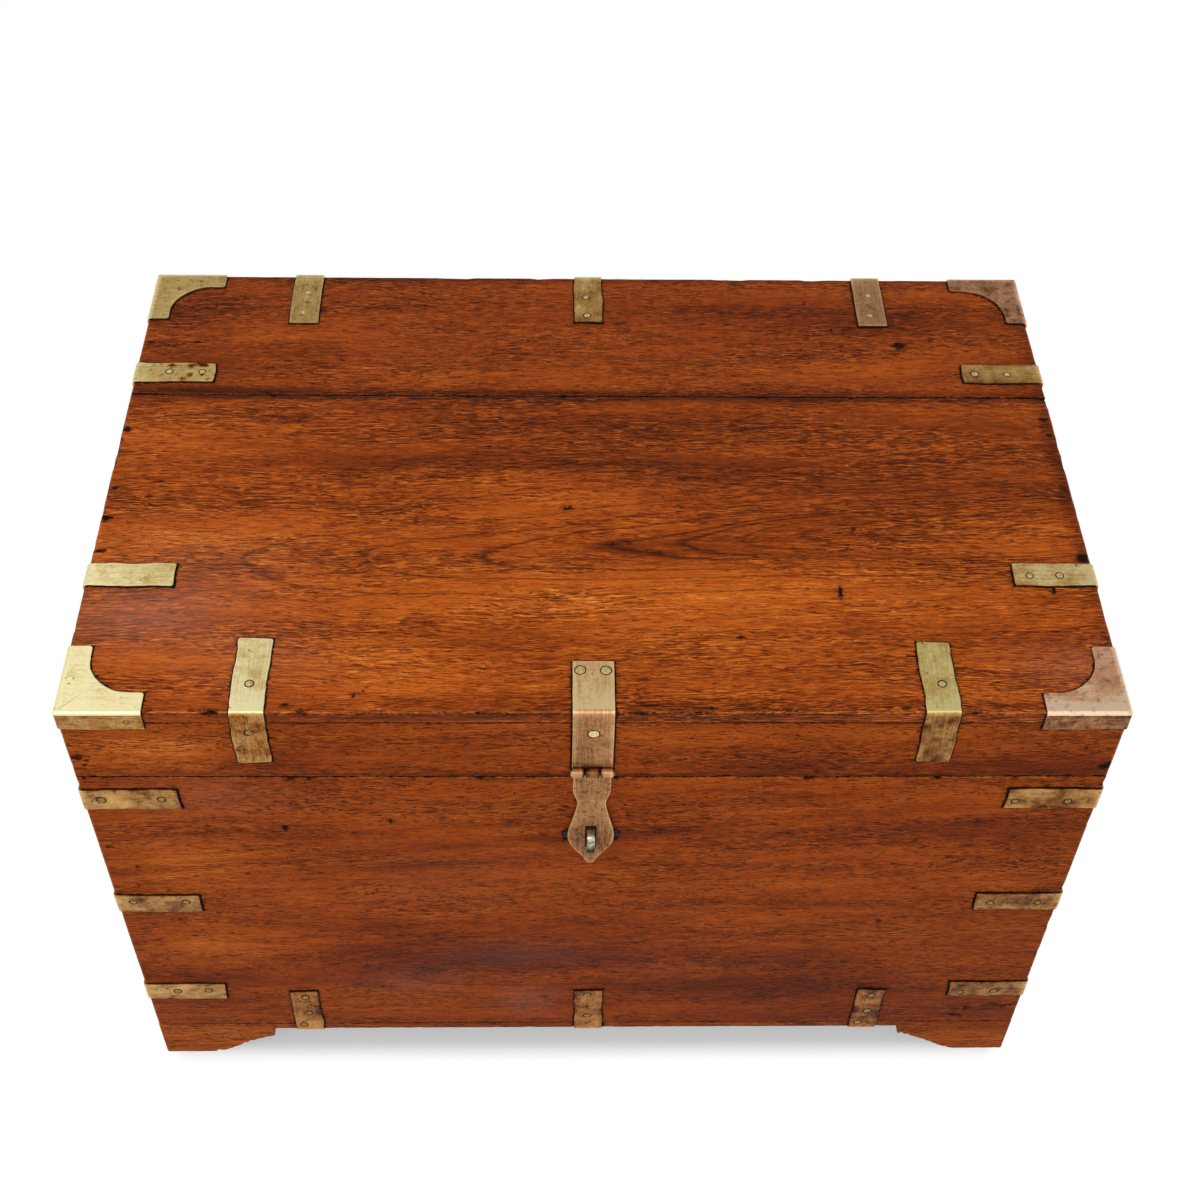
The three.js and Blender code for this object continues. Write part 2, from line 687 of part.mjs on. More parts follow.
// The leaf hangs from the pin, steps outwards below its shoulders so that it clears the staple's
// plate, and is pierced for the staple. Its middle knuckle is rolled round the pin.
function haspLeaf() {
  const rollRadius = haspBore + haspSheet / 2;
  const nearWood = bedding + haspSheet / 2;
  const clear = bedding + staplePlateThickness + leafOffPlate + haspSheet / 2;
  const shift = clear - nearWood;
  const curved = 2 * haspJoggleRadius * (1 - Math.cos(haspJoggleTurn));
  const slope = (shift - curved) / Math.sin(haspJoggleTurn);
  const sloped = 2 * haspJoggleRadius * Math.sin(haspJoggleTurn) + slope * Math.cos(haspJoggleTurn);
  const topDrop = haspBore + haspSheet + sideClearance;
  const below = haspLeafLength - haspShoulderDrop - sloped;
  const start = { u: -clear, v: haspPinDrop + haspLeafLength, heading: -Math.PI / 2 };
  const toShoulder = [
    { run: below },
    { turn: haspJoggleTurn, radius: haspJoggleRadius },
    { run: slope },
    { turn: -haspJoggleTurn, radius: haspJoggleRadius },
  ];
  const plateWalk = walk(start, [...toShoulder, { run: haspShoulderDrop - topDrop }]);
  const outline = leafOutline();
  const widthAt = (length) => {
    const drop = haspLeafLength - length;
    const next = Math.max(1, outline.findIndex((point) => point.drop >= drop));
    const share = (drop - outline[next - 1].drop) / (outline[next].drop - outline[next - 1].drop);
    return THREE.MathUtils.lerp(outline[next - 1].half, outline[next].half, share);
  };
  const places = outline.slice(1, -1).map((point) => haspLeafLength - point.drop);
  const plate = bentSheet(plateWalk, haspSheet, widthAt, places);
  const knuckleStart = { u: -nearWood, v: haspPinDrop + haspShoulderDrop, heading: -Math.PI / 2 };
  const knuckleWalk = walk(knuckleStart, [
    { run: haspShoulderDrop },
    { turn: -rollTurn, radius: rollRadius },
  ]);
  const halfKnuckle = haspCentreKnuckle / 2 - sideClearance;
  const knuckle = bentSheet(knuckleWalk, haspSheet, () => halfKnuckle);
  const slotMiddle = haspPinDrop + haspSlotDrop;
  const slot = boxBetween(
    [-clear - haspSheet - overrun, slotMiddle - haspSlotLength / 2, -haspSlotWidth / 2],
    [overrun - clear, slotMiddle + haspSlotLength / 2, haspSlotWidth / 2],
  );
  return cut(join(plate, knuckle), slot);
}

function addHasp(lid, hasp) {
  const edge = towards(haspCentre, -halfDepth, chestHeight);
  const frame = edgeFrame(edge, towards(0, 1, 0), towards(0, 0, -1));
  const middle = haspCentreKnuckle / 2;
  const strap = cut(
    bentStrip(rolledOverEdge(haspSheet, haspStrapOnTop, haspPinDrop, haspBore),
      haspSheet, haspWidth, true, false),
    knuckleRoom(-middle, middle, haspPinDrop, haspSheet, haspBore, -1),
  );
  addPiece(lid, "hasp_strap", strap, "redBrass", frame);
  addPiece(hasp, "hasp_leaf", haspLeaf(), "redBrass", frame);
  const axis = new THREE.Matrix4();
  axis.setPosition(haspCentre, -halfDepth - haspAxisOffset, haspAxisHeight);
  const pin = headedPin(haspPinRadius, haspWidth + sideClearance);
  addPiece(lid, "hasp_pin", pin, "brightSteel", axis);
}

// Where the staple's two legs pass through a plate or board, with room round them.
function stapleHoles() {
  const depth = wallThickness + overrun;
  const halfX = stapleWidth / 2 + joinGap;
  const offset = (stapleHeight - stapleBar) / 2;
  return [-offset, offset].map((z) => {
    const middle = stapleCentreHeight + z;
    const halfZ = stapleBar / 2 + joinGap;
    return boxBetween(
      [haspCentre - halfX, -halfDepth - depth, middle - halfZ],
      [haspCentre + halfX, depth - halfDepth, middle + halfZ],
    );
  });
}

// A flat bar bent into a loop, whose legs go through the front board and are clenched inside it.
function stapleLoop() {
  const clenchBend = { turn: Math.PI / 2, radius: stapleClenchRadius + stapleBar / 2 };
  const eyeBend = { turn: -Math.PI / 2, radius: stapleEyeRadius + stapleBar / 2 };
  const inside = wallThickness + joinGap + stapleBar / 2;
  const outside = stapleReach - stapleBar / 2;
  const legs = (stapleHeight - stapleBar) / 2;
  const leg = { run: inside + outside - clenchBend.radius - eyeBend.radius };
  const clench = { run: stapleClench - clenchBend.radius };
  const start = { u: inside, v: -legs - stapleClench, heading: Math.PI / 2 };
  const eye = [eyeBend, { run: legs + legs - eyeBend.radius - eyeBend.radius }, eyeBend];
  const steps = [clench, clenchBend, leg, ...eye, leg, clenchBend, clench];
  const half = stapleWidth / 2;
  return bentSheet(walk(start, steps), stapleBar, () => half);
}

function addStaple(parent) {
  const halfX = staplePlateWidth / 2;
  const halfZ = staplePlateHeight / 2;
  const tip = staplePlateCorner / 2;
  const nearX = halfX - tip;
  const nearZ = halfZ - tip;
  const lozenge = new THREE.Shape();
  lozenge.moveTo(-nearX, -staplePlateCorner);
  lozenge.lineTo(-staplePlateCorner, -nearZ);
  lozenge.quadraticCurveTo(0, -halfZ - tip, staplePlateCorner, -nearZ);
  lozenge.lineTo(nearX, -staplePlateCorner);
  lozenge.quadraticCurveTo(halfX + tip, 0, nearX, staplePlateCorner);
  lozenge.lineTo(staplePlateCorner, nearZ);
  lozenge.quadraticCurveTo(0, halfZ + tip, -staplePlateCorner, nearZ);
  lozenge.lineTo(-nearX, staplePlateCorner);
  lozenge.quadraticCurveTo(-halfX - tip, 0, -nearX, -staplePlateCorner);
  const options = { depth: staplePlateThickness, bevelEnabled: false, curveSegments };
  const plate = new THREE.ExtrudeGeometry(lozenge, options).rotateX(Math.PI / 2);
  plate.translate(haspCentre, -halfDepth - bedding, stapleCentreHeight);
  addPiece(parent, "staple_plate", cut(plate, ...stapleHoles()), "blackIron");
  const middle = towards(haspCentre, -halfDepth, stapleCentreHeight);
  const frame = edgeFrame(middle, towards(0, 1, 0), towards(0, 0, -1));
  addPiece(parent, "staple", stapleLoop(), "brightSteel", frame);
}

// Back plate with two pierced lugs, on an end board whose face is x = 0 with the outside in +X.
function handlePlate() {
  const halfY = handlePlateWidth / 2;
  const halfZ = handlePlateHeight / 2;
  const r = handlePlateCorner;
  const face = new THREE.Shape();
  face.moveTo(-halfY + r, -halfZ);
  face.absarc(halfY - r, -halfZ + r, r, -Math.PI / 2, 0, false);
  face.absarc(halfY - r, halfZ - r, r, 0, Math.PI / 2, false);
  face.absarc(-halfY + r, halfZ - r, r, Math.PI / 2, Math.PI, false);
  face.absarc(-halfY + r, -halfZ + r, r, Math.PI, Math.PI * 1.5, false);
  const options = { depth: handlePlateThickness, bevelEnabled: false, curveSegments };
  const plate = new THREE.ExtrudeGeometry(face, options);
  plate.rotateX(Math.PI / 2).rotateZ(Math.PI / 2).translate(bedding, 0, -handlePlateDrop);
  const outer = bailArmOffset - bailShoulderRadius - handleGap;
  const lugs = [outer, lugThickness - outer].map((y) => handleLug().translate(0, y, 0));
  return join(plate, ...lugs);
}

// One lug: it grows out of the plate, ends round about the pivot and is bored for the bail.
function handleLug() {
  const foot = bedding + handlePlateThickness / 2;
  const side = new THREE.Shape();
  side.moveTo(foot, -lugRadius);
  side.lineTo(handlePivotReach, -lugRadius);
  side.absarc(handlePivotReach, 0, lugRadius, -Math.PI / 2, Math.PI / 2, false);
  side.lineTo(foot, lugRadius);
  side.closePath();
  const bore = new THREE.Path();
  bore.absarc(handlePivotReach, 0, bailRadius + bailClearance, 0, Math.PI * 2, true);
  side.holes.push(bore);
  const options = { depth: lugThickness, bevelEnabled: false, curveSegments: curveSegments * 2 };
  return new THREE.ExtrudeGeometry(side, options).rotateX(Math.PI / 2);
}

// The drop handle: its ends turn in through the lugs, and its grip is a little thicker.
function bail() {
  const lugInside = bailArmOffset - bailShoulderRadius - handleGap - lugThickness;
  const tipAt = lugInside - bailPeen;
  const arm = bailDrop - bailShoulderRadius - bailCornerRadius;
  const halfGrip = bailArmOffset - bailCornerRadius;
  const quarter = Math.PI / 2;
  const gripParts = 6;
  const grip = Array.from({ length: gripParts }, () => ({ run: (2 * halfGrip) / gripParts }));
  const steps = [
    { run: bailArmOffset - bailShoulderRadius - tipAt },
    { turn: quarter, radius: bailShoulderRadius },
    { run: arm },
    { turn: quarter, radius: bailCornerRadius },
    ...grip,
    { turn: quarter, radius: bailCornerRadius },
    { run: arm },
    { turn: quarter, radius: bailShoulderRadius },
    { run: bailArmOffset - bailShoulderRadius - tipAt },
  ];
  const stations = walk({ u: -tipAt, v: 0, heading: Math.PI }, steps);
  const total = stations[stations.length - 1].length;
  const radiusAt = (length) => {
    const fromMiddle = Math.min(Math.abs(length - total / 2) / halfGrip, 1);
    return bailRadius + bailGripSwell * Math.cos((fromMiddle * Math.PI) / 2) ** 2;
  };
  return bentRod(stations, radiusAt);
}

function addHandles(box) {
  const plate = handlePlate();
  const drop = bail();
  for (const [sideName, side] of Object.entries({ right: 1, left: -1 })) {
    const frame = side > 0 ? new THREE.Matrix4() : halfTurn.clone();
    frame.setPosition(side * halfWidth, 0, handlePivotHeight);
    addPiece(box, `handle_plate_${sideName}`, plate, "agedBrass", frame);
    const pivot = towards(side * (halfWidth + handlePivotReach), 0, handlePivotHeight);
    const turning = turningGroup(chest, pivot);
    const bailFrame = edgeFrame(pivot, towards(0, 1, 0), towards(0, 0, 1));
    addPiece(turning, `bail_${sideName}`, drop, "agedBrass", bailFrame);
  }
}

const box = new THREE.Group();
chest.add(box);
const hingeAxis = towards(0, halfDepth + hingeAxisOffset, seamHeight);
const lid = turningGroup(chest, hingeAxis);
const haspAxis = towards(haspCentre, -halfDepth - haspAxisOffset, haspAxisHeight);
const hasp = turningGroup(lid, haspAxis);

addWalls(box);
addPlinth(box);
addBoxStraps(box);
addStaple(box);
addHandles(box);
addLidBoards(lid);
addLidCorners(lid);
addLidStraps(lid);
addHinges(box, lid);
addHasp(lid, hasp);

// The staple stands out further than the hinges, so the outline's middle is moved onto the origin.
chest.position.y = (stapleReach - hingeReach) / 2;

export default chest;
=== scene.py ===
import json
import math
from functools import partial

import bmesh
import bpy
import numpy as np
from mathutils import Matrix, Vector

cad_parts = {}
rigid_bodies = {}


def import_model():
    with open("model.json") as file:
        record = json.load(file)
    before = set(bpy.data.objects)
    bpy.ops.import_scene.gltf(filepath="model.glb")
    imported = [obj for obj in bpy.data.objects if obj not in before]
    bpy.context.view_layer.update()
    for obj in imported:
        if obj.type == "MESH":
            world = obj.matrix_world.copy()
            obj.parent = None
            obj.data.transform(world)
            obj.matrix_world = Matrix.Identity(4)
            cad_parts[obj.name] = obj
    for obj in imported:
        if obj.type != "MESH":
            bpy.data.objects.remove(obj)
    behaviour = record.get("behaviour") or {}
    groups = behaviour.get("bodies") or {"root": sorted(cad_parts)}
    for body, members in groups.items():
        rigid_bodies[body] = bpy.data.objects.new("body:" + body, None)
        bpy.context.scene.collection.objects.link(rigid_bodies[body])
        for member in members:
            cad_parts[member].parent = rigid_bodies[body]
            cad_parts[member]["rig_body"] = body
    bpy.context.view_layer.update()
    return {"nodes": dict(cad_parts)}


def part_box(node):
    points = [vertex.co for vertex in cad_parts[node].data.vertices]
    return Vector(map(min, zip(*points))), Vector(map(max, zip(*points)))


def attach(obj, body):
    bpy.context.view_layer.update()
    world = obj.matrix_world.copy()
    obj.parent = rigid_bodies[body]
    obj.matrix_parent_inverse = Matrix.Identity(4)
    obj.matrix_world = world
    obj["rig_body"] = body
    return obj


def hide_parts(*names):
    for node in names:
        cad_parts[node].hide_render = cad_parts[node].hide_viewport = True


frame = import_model()
print("frame loaded:", len(frame["nodes"]), "nodes")

# the wooden chest: its faces, its joints, and the gap left between boards
chest = {
    "halfWidth": 381.0, "front": -242.8, "back": 249.2, "top": 498.0, "middleY": 3.2,
    "lidSeam": 422.0, "railJoint": 486.4, "plankJoint": 92.05, "plinthJoint": 52.1,
    "wall": 15.0, "wallLap": 5.0, "gap": 0.3, "centre": (0.0, 3.2, 250.0),
}
mm = 0.001
quarter = math.pi / 2
farAway = 99.0  # stands for a distance that is too large to matter
sideSigns = {"left": -1, "right": 1}
faceSigns = {"front": -1, "back": 1}
# of each face: its level, the axis square to it, and the axis across the chest's length
faceAxes = {"top": (chest["top"], 2, 1), "front": (chest["front"], 1, 2), "back": (chest["back"], 1, 2)}


def linear(hexColour):
    # sRGB to linear: c / 12.92 for the darkest values, ((c + 0.055) / 1.055) ** 2.4 above them
    channels = np.array([int(hexColour[i:i + 2], 16) for i in (1, 3, 5)]) / 255
    bent = ((channels + 0.055) / 1.055) ** 2.4
    return (*np.where(channels <= 0.04045, channels / 12.92, bent).tolist(), 1.0)


def softNoise(points, size, seed):
    # smooth random value from 0 to 1: random numbers on a lattice, eased between neighbours
    table = np.random.default_rng(seed).random((32, 32, 32))
    place = np.asarray(points, float) / size + 64
    cell = np.floor(place).astype(int)
    ease = place - cell
    ease = ease * ease * (3 - 2 * ease)
    total = 0
    for corner in np.ndindex(2, 2, 2):
        weight = np.prod(np.where(corner, ease, 1 - ease), axis=1)
        i, j, k = ((cell + corner) % 32).T
        total = total + weight * table[i, j, k]
    return total


def patchy(points, size, seed, start, gain):
    # noise that is 0 up to its start and rises from there to 1
    return np.clip((softNoise(points, size, seed) - start) * gain, 0, 1)


def ragged(along, size, seed):
    # a wandering line from -1 to 1
    along = np.asarray(along, float)
    flat = along.ravel()
    points = np.stack([flat, np.zeros_like(flat), np.zeros_like(flat)], 1)
    return (softNoise(points, size, seed) * 2 - 1).reshape(along.shape)


def gridFaces(rows, columns, start=0, closed=False):
    # quads of a grid of points, counted row by row; a closed grid joins its last column to its first
    index = start + np.arange(rows * columns).reshape(rows, columns)
    if closed:
        index = np.concatenate([index, index[:, :1]], 1)
    quads = np.stack([index[:-1, :-1], index[1:, :-1], index[1:, 1:], index[:-1, 1:]], -1)
    return quads.reshape(-1, 4)


def faceOutwards(points, faces, centre):
    # Turns all faces over when they look towards the centre: a face's normal is the cross product of
    # its diagonals. The centre is one place, or one for each face.
    corners = points[faces]
    normals = np.cross(corners[:, 2] - corners[:, 0], corners[:, 3] - corners[:, 1])
    away = corners.mean(1) - np.asarray(centre, float)
    return faces if np.sum(normals * away) > 0 else faces[:, ::-1]


def mergeAlike(points):
    # the different places among the points, and for each point its place's number
    _, first, merged = np.unique(np.round(points, 3), axis=0, return_index=True, return_inverse=True)
    return points[first], merged.ravel()


def loopVertices(mesh):
    # the vertex of each corner of each face
    corner = np.empty(len(mesh.loops), np.int32)
    mesh.loops.foreach_get("vertex_index", corner)
    return corner


def setValues(mesh, values):
    # one attribute for each key, with one value for each point
    for key, value in values.items():
        layer = mesh.attributes.new(key, "FLOAT", "POINT")
        layer.data.foreach_set("value", np.asarray(value, np.float32))


def placePiece(name, mesh, sharp):
    # an object at the origin, smooth but for edges that turn by more than the sharp angle
    mesh.shade_smooth()
    mesh.set_sharp_from_angle(angle=math.radians(sharp))
    piece = bpy.data.objects.new(name, mesh)
    bpy.context.scene.collection.objects.link(piece)
    return piece


def makePiece(name, points, faces, body, looks, values=None, uv=None, faceMaterial=None, sharp=38):
    # A piece that rides on a body, from points in mm. Its looks are names of finishes; uv is in mm
    # too, one pair for each point.
    mesh = bpy.data.meshes.new(name)
    mesh.from_pydata((np.asarray(points) * mm).tolist(), [], [list(face) for face in faces])
    setValues(mesh, values or {})
    if uv is not None:
        uvLayer = mesh.uv_layers.new(name="UVMap")
        uvLayer.data.foreach_set("uv", (np.asarray(uv)[loopVertices(mesh)] * mm).ravel())
    for look in looks:
        mesh.materials.append(finishes[look])
    if faceMaterial is not None:
        mesh.polygons.foreach_set("material_index", np.asarray(faceMaterial, np.int32))
    mesh.validate()
    piece = placePiece(name, mesh, sharp)
    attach(piece, body)
    return piece


def easeEdges(piece, name, width, angle):
    # a small bevel in two steps along the edges that turn by more than the angle
    edge = piece.modifiers.new(name, "BEVEL")
    edge.width = width * mm
    edge.segments = 2
    edge.limit_method = "ANGLE"
    edge.angle_limit = math.radians(angle)


def finishSheet(piece, thickness, bevel=0.28):
    # gives a bent sheet its thickness on both sides of its middle, and soft filed edges
    wall = piece.modifiers.new("sheet", "SOLIDIFY")
    wall.thickness = thickness * mm
    wall.offset = 0
    easeEdges(piece, "filed", bevel, 50)


# Finishes. The settings below are those that most nodes take.
multiply = {"operation": "MULTIPLY"}
multiplyAdd = {"operation": "MULTIPLY_ADD"}
clampedMultiply = {"operation": "MULTIPLY", "use_clamp": True}
larger = {"operation": "MAXIMUM"}
colourMix = {"data_type": "RGBA"}


def addNode(tree, kind, settings=None, inputs=()):
    # adds a node with its settings, its ramp stops and its inputs: values or links, in a list in the
    # order of its sockets or in a dictionary
    node = tree.nodes.new("ShaderNode" + kind)
    for key, value in (settings or {}).items():
        if key == "stops":
            ramp = node.color_ramp.elements
            while len(ramp) < len(value):
                ramp.new(0.5)
            for element, (position, colour) in zip(ramp, value):
                element.position = position
                element.color = linear(colour)
        else:
            setattr(node, key, value)
    for socket, value in inputs.items() if isinstance(inputs, dict) else enumerate(inputs):
        if isinstance(value, bpy.types.NodeSocket):
            tree.links.new(value, node.inputs[socket])
        else:
            node.inputs[socket].default_value = value
    return node.outputs


def newMaterial(name):
    # an empty material, and addNode bound to its tree
    material = bpy.data.materials.new(name)
    material.use_nodes = True
    material.node_tree.nodes.clear()
    return material, partial(addNode, material.node_tree)


# Waxed mahogany: open-pored and red-brown, oiled and waxed for a century, so light gets a little
# way in and the pores stay dark. The bare wood inside was planed and never waxed.
woodLevels = (0.10, 0.36, 0.55, 0.78, 1.0)
woodTones = {  # from dark to pale, one tone for each level
    "top": ("#4b1c0a", "#84380c", "#ad5015", "#ca691f", "#df8a3e"),
    "back": ("#43180a", "#752f0a", "#984311", "#b55a1a", "#d07a34"),
    "case": ("#43180a", "#732d0b", "#98430f", "#b45a1c", "#cf7834"),
    "plinth": ("#4a1c0b", "#7c3511", "#a04f1c", "#bd6729", "#d38240"),
    "bare": ("#54341e", "#7d5434", "#946842", "#a87d54", "#ba9068"),
}
# the near-black tone is dirt, with painted shade beside the brass
# the pale grey-pink tone is painted sheen on the wax, with old wax bloom
# the pale orange tone is wood rubbed bare on the arrises, with a painted highlight
woodStains = {"ring": "#210e08", "pore": "#2e1207", "bloom": "#b08f86", "rub": "#d27a3a", "dirt": "#170d08"}
# length and width in mm of the flecks of each noise along the grain, and its detail
grainNoise = {
    "drift": (260, 90, 2.0), "jitter": (17, 6, 2.0), "wax": (80, 55, 3.0), "bands": (520, 46, 3.0),
    "streaks": (110, 1.8, 3.0), "mottle": (46, 8, 3.0), "flecks": (20, 1.6, 2.0), "crowd": (150, 26, 2.0),
    # single fibres are 0.05 mm wide; these stand for bundles of them, wide enough to show
    "fibre": (42, 0.95, 1.0), "spark": (13, 0.95, 0.0),
    # pores of real mahogany are 0.3 mm wide; these are drawn coarser so that the picture holds them
    "dashes": (11, 0.58, 1.0), "longDashes": (34, 0.72, 1.0), "grit": (3.2, 1.6, 2.0),
}
grainWeights = {"bands": 0.46, "zone": 0.20, "mottle": 0.24, "streaks": 0.34, "flecks": 0.16}
fineWeights = {"fibre": 0.60, "spark": 0.42}
grain = {
    # how far the grain wanders in metres, and the rings' span in mm
    "driftReach": (0.0, 0.026, 0.026), "jitterReach": (0.003, 0.004, 0.004),
    "ringJitter": (0.001, 0.001, 0.001), "ringSpan": 62.0, "ringBefore": 0.007, "ringAfter": 0.014,
    "ringFade": 0.45, "zoneSize": 14.0,
    # what shade does to the streaks and to the rest, and how noise and shade crowd the pores
    "shadeStreaks": -1.2, "shadeEven": -0.4, "crowding": 0.26, "shadeCrowding": 0.10, "poreShare": 0.88,
    # how grit breaks up the dirt and painted shade, and how hard their edge is
    "grit": 1.6, "gritLess": -0.95, "dirtAndShadeEdge": 1.7, "anyDirtAndShade": 4.0,
    # roughness added by wax and by dirt with its painted shade, and the relief of streaks and pores, in
    # metres
    "waxRough": 0.16, "dirtAndShadeRough": 0.3, "streakHeight": 0.5, "bump": 0.4, "bumpDepth": 0.00012,
    "ior": 1.5,
}
# where each noise starts to count and counts in full, and what it becomes there
grainCuts = {
    "lifted": (0.36, 0.62, 0.5, 1.5), "ringParts": (0.38, 0.56, 0.50, 1.0),
    "rubAndHighlightSpots": (0.35, 0.62, 0.1, 1.0), "dashes": (0.545, 0.62), "longDashes": (0.62, 0.70),
}


def woodFinish(name, tones, growth, along="x", gloss=0.40, pore=1.0, gleam=0.022, crisp=0.55):
    # Mahogany in the solid: rings round a leaning pith give the cathedral figure, and noise drawn
    # out along the grain gives bands, streaks and pores. growth names the tree's rings in it.
    material, add = newMaterial(name)
    growth = dict(zip(growthKeys, growths[growth]))
    place = add("TexCoord")["Object"]
    if along == "y":
        place = add("Mapping", {}, {"Vector": place, "Rotation": (0, 0, -quarter)})["Vector"]

    noise = {}
    wander = place
    for order, (label, (long, wide, detail)) in enumerate(grainNoise.items()):
        seed = growth["seed"] + 7.3 * order
        flecks = (1000 / long, 1000 / wide, 1000 / wide)
        drawn = add("VectorMath", multiplyAdd,
                    [place if order < 3 else wander, flecks, (seed, seed * 0.7, seed * 1.3)])[0]
        output = add("TexNoise", {}, {"Vector": drawn, "Scale": 1.0, "Detail": detail})
        noise[label] = output[0]
        if label in ("drift", "jitter"):
            # the grain wanders by a few millimetres and trembles by one, and the rings tremble less
            centred = add("VectorMath", {"operation": "SUBTRACT"}, [output[1], (0.5, 0.5, 0.5)])[0]
            if label == "jitter":
                ringPlace = add("VectorMath", multiplyAdd, [centred, grain["ringJitter"], wander])[0]
            wander = add("VectorMath", multiplyAdd, [centred, grain[label + "Reach"], wander])[0]

    # distance from the pith, in metres
    x0, across0, depth0 = (value * mm for value in growth["pith"])
    axes = add("SeparateXYZ", {}, [ringPlace])
    skewed = add("Math", multiplyAdd, [axes[0], -growth["skew"], -across0])[0]
    across = add("Math", {}, [axes[growth["across"]], skewed])[0]
    leaned = add("Math", multiplyAdd, [axes[0], growth["lean"], -depth0 - x0 * growth["lean"]])[0]
    depth = add("Math", {}, [axes[3 - growth["across"]], leaned])[0]
    offset = add("CombineXYZ", {}, [across, depth])[0]
    radius = add("VectorMath", {"operation": "LENGTH"}, [offset])["Value"]
    zoneAt = add("Math", multiply, [radius, 1000 / grain["zoneSize"]])[0]
    noise["zone"] = add("TexNoise", {"noise_dimensions": "1D"}, {"W": zoneAt, "Scale": 1.0, "Detail": 3.0})[0]

    # level is how pale the wood is: half, and each noise's weight times its distance from a half
    level = 0.5 - sum(grainWeights.values()) / 2
    for label, weight in grainWeights.items():
        level = add("Math", multiplyAdd, [noise[label], weight, level])[0]
    # the fibres show where the plane has lifted them and lie smooth elsewhere
    fine = -sum(fineWeights.values()) / 2
    for label, weight in fineWeights.items():
        fine = add("Math", multiplyAdd, [noise[label], weight, fine])[0]
    low, high, least, most = grainCuts["lifted"]
    lifted = add("MapRange", {}, [noise["crowd"], low, high, least * crisp, most * crisp])[0]
    level = add("Math", multiplyAdd, [fine, lifted, level])[0]
    # the listed dark and pale places, broken up by the streaks
    shade = add("Attribute", {"attribute_name": "shade"})["Fac"]
    uneven = add("Math", multiplyAdd, [noise["streaks"], grain["shadeStreaks"], grain["shadeEven"]])[0]
    level = add("Math", multiplyAdd, [shade, uneven, level])[0]
    colour = add("ValToRGB", {"stops": list(zip(woodLevels, woodTones[tones]))}, [level])[0]

    # dark growth rings, each a thin line that pores break up
    stops = [(0.0, "#000000")]
    for ringRadius, strength in sorted(growth["rings"]):
        tint = "#" + f"{int(255 * strength ** grain['ringFade']):02x}" * 3
        middle = ringRadius / grain["ringSpan"]
        stops += [(middle - grain["ringBefore"], "#000000"), (middle, tint),
                  (middle + grain["ringAfter"], "#000000")]
    ringAt = add("Math", multiply, [radius, 1000 / grain["ringSpan"]])[0]
    ringShare = add("ValToRGB", {"stops": stops}, [ringAt])[0]
    between = add("MapRange", {}, [noise["dashes"], *grainCuts["ringParts"]])[0]
    ringShare = add("Math", multiply, [ringShare, between])[0]
    colour = add("Mix", colourMix, {0: ringShare, 6: colour, 7: linear(woodStains["ring"])})[2]

    # pores: dark dashes along the grain, thick in some zones and thin in others
    crowding = grain["crowding"]
    crowd = add("Math", multiplyAdd, [noise["crowd"], crowding, -crowding / 2])[0]
    crowd = add("Math", multiplyAdd, [shade, grain["shadeCrowding"], crowd])[0]
    dashes = []
    for label in ("dashes", "longDashes"):
        crowded = add("Math", {}, [noise[label], crowd])[0]
        dashes.append(add("MapRange", {}, [crowded, *grainCuts[label]])[0])
    pores = add("Math", larger, [dashes[0], dashes[1]])[0]
    poreShare = add("Math", multiply, [pores, grain["poreShare"] * pore])[0]
    colour = add("Mix", colourMix, {0: poreShare, 6: colour, 7: linear(woodStains["pore"])})[2]

    # painted sheen: pale milky patches that stand for the wax's gleam and for old wax gone milky;
    # arrises rubbed back to paler wood, with a painted highlight on them; and dirt packed against the
    # brass and into dents, with painted shade beside the brass; the last two break up at their edges
    bloom = add("Attribute", {"attribute_name": "bloom"})["Fac"]
    colour = add("Mix", colourMix, {0: bloom, 6: colour, 7: linear(woodStains["bloom"])})[2]
    rub = add("Attribute", {"attribute_name": "rub"})["Fac"]
    spots = add("MapRange", {}, [noise["flecks"], *grainCuts["rubAndHighlightSpots"]])[0]
    rubAndHighlightShare = add("Math", clampedMultiply, [rub, spots])[0]
    colour = add("Mix", colourMix, {0: rubAndHighlightShare, 6: colour, 7: linear(woodStains["rub"])})[2]
    dirt = add("Attribute", {"attribute_name": "dirt"})["Fac"]
    grit = add("Math", multiplyAdd, [noise["grit"], grain["grit"], grain["gritLess"]])[0]
    broken = add("Math", {}, [dirt, grit])[0]
    broken = add("Math", clampedMultiply, [broken, grain["dirtAndShadeEdge"]])[0]
    anyDirtAndShade = add("Math", clampedMultiply, [dirt, grain["anyDirtAndShade"]])[0]
    dirtAndShadeShare = add("Math", multiply, [broken, anyDirtAndShade])[0]
    colour = add("Mix", colourMix, {0: dirtAndShadeShare, 6: colour, 7: linear(woodStains["dirt"])})[2]

    waxRough = grain["waxRough"]
    rough = add("Math", multiplyAdd, [noise["wax"], waxRough, gloss - waxRough / 2])[0]
    rough = add("Math", multiplyAdd, [dirtAndShadeShare, grain["dirtAndShadeRough"], rough])[0]
    sunk = add("Math", multiply, [pores, -1.0])[0]
    height = add("Math", multiplyAdd, [noise["streaks"], grain["streakHeight"], sunk])[0]
    bump = add("Bump", {}, {"Strength": grain["bump"], "Distance": grain["bumpDepth"], "Height": height})[0]
    shader = add("BsdfPrincipled", {}, {"Base Color": colour, "Roughness": rough, "IOR": grain["ior"],
                                        "Specular IOR Level": gleam, "Normal": bump})[0]
    add("OutputMaterial", {}, {"Surface": shader})
    return material
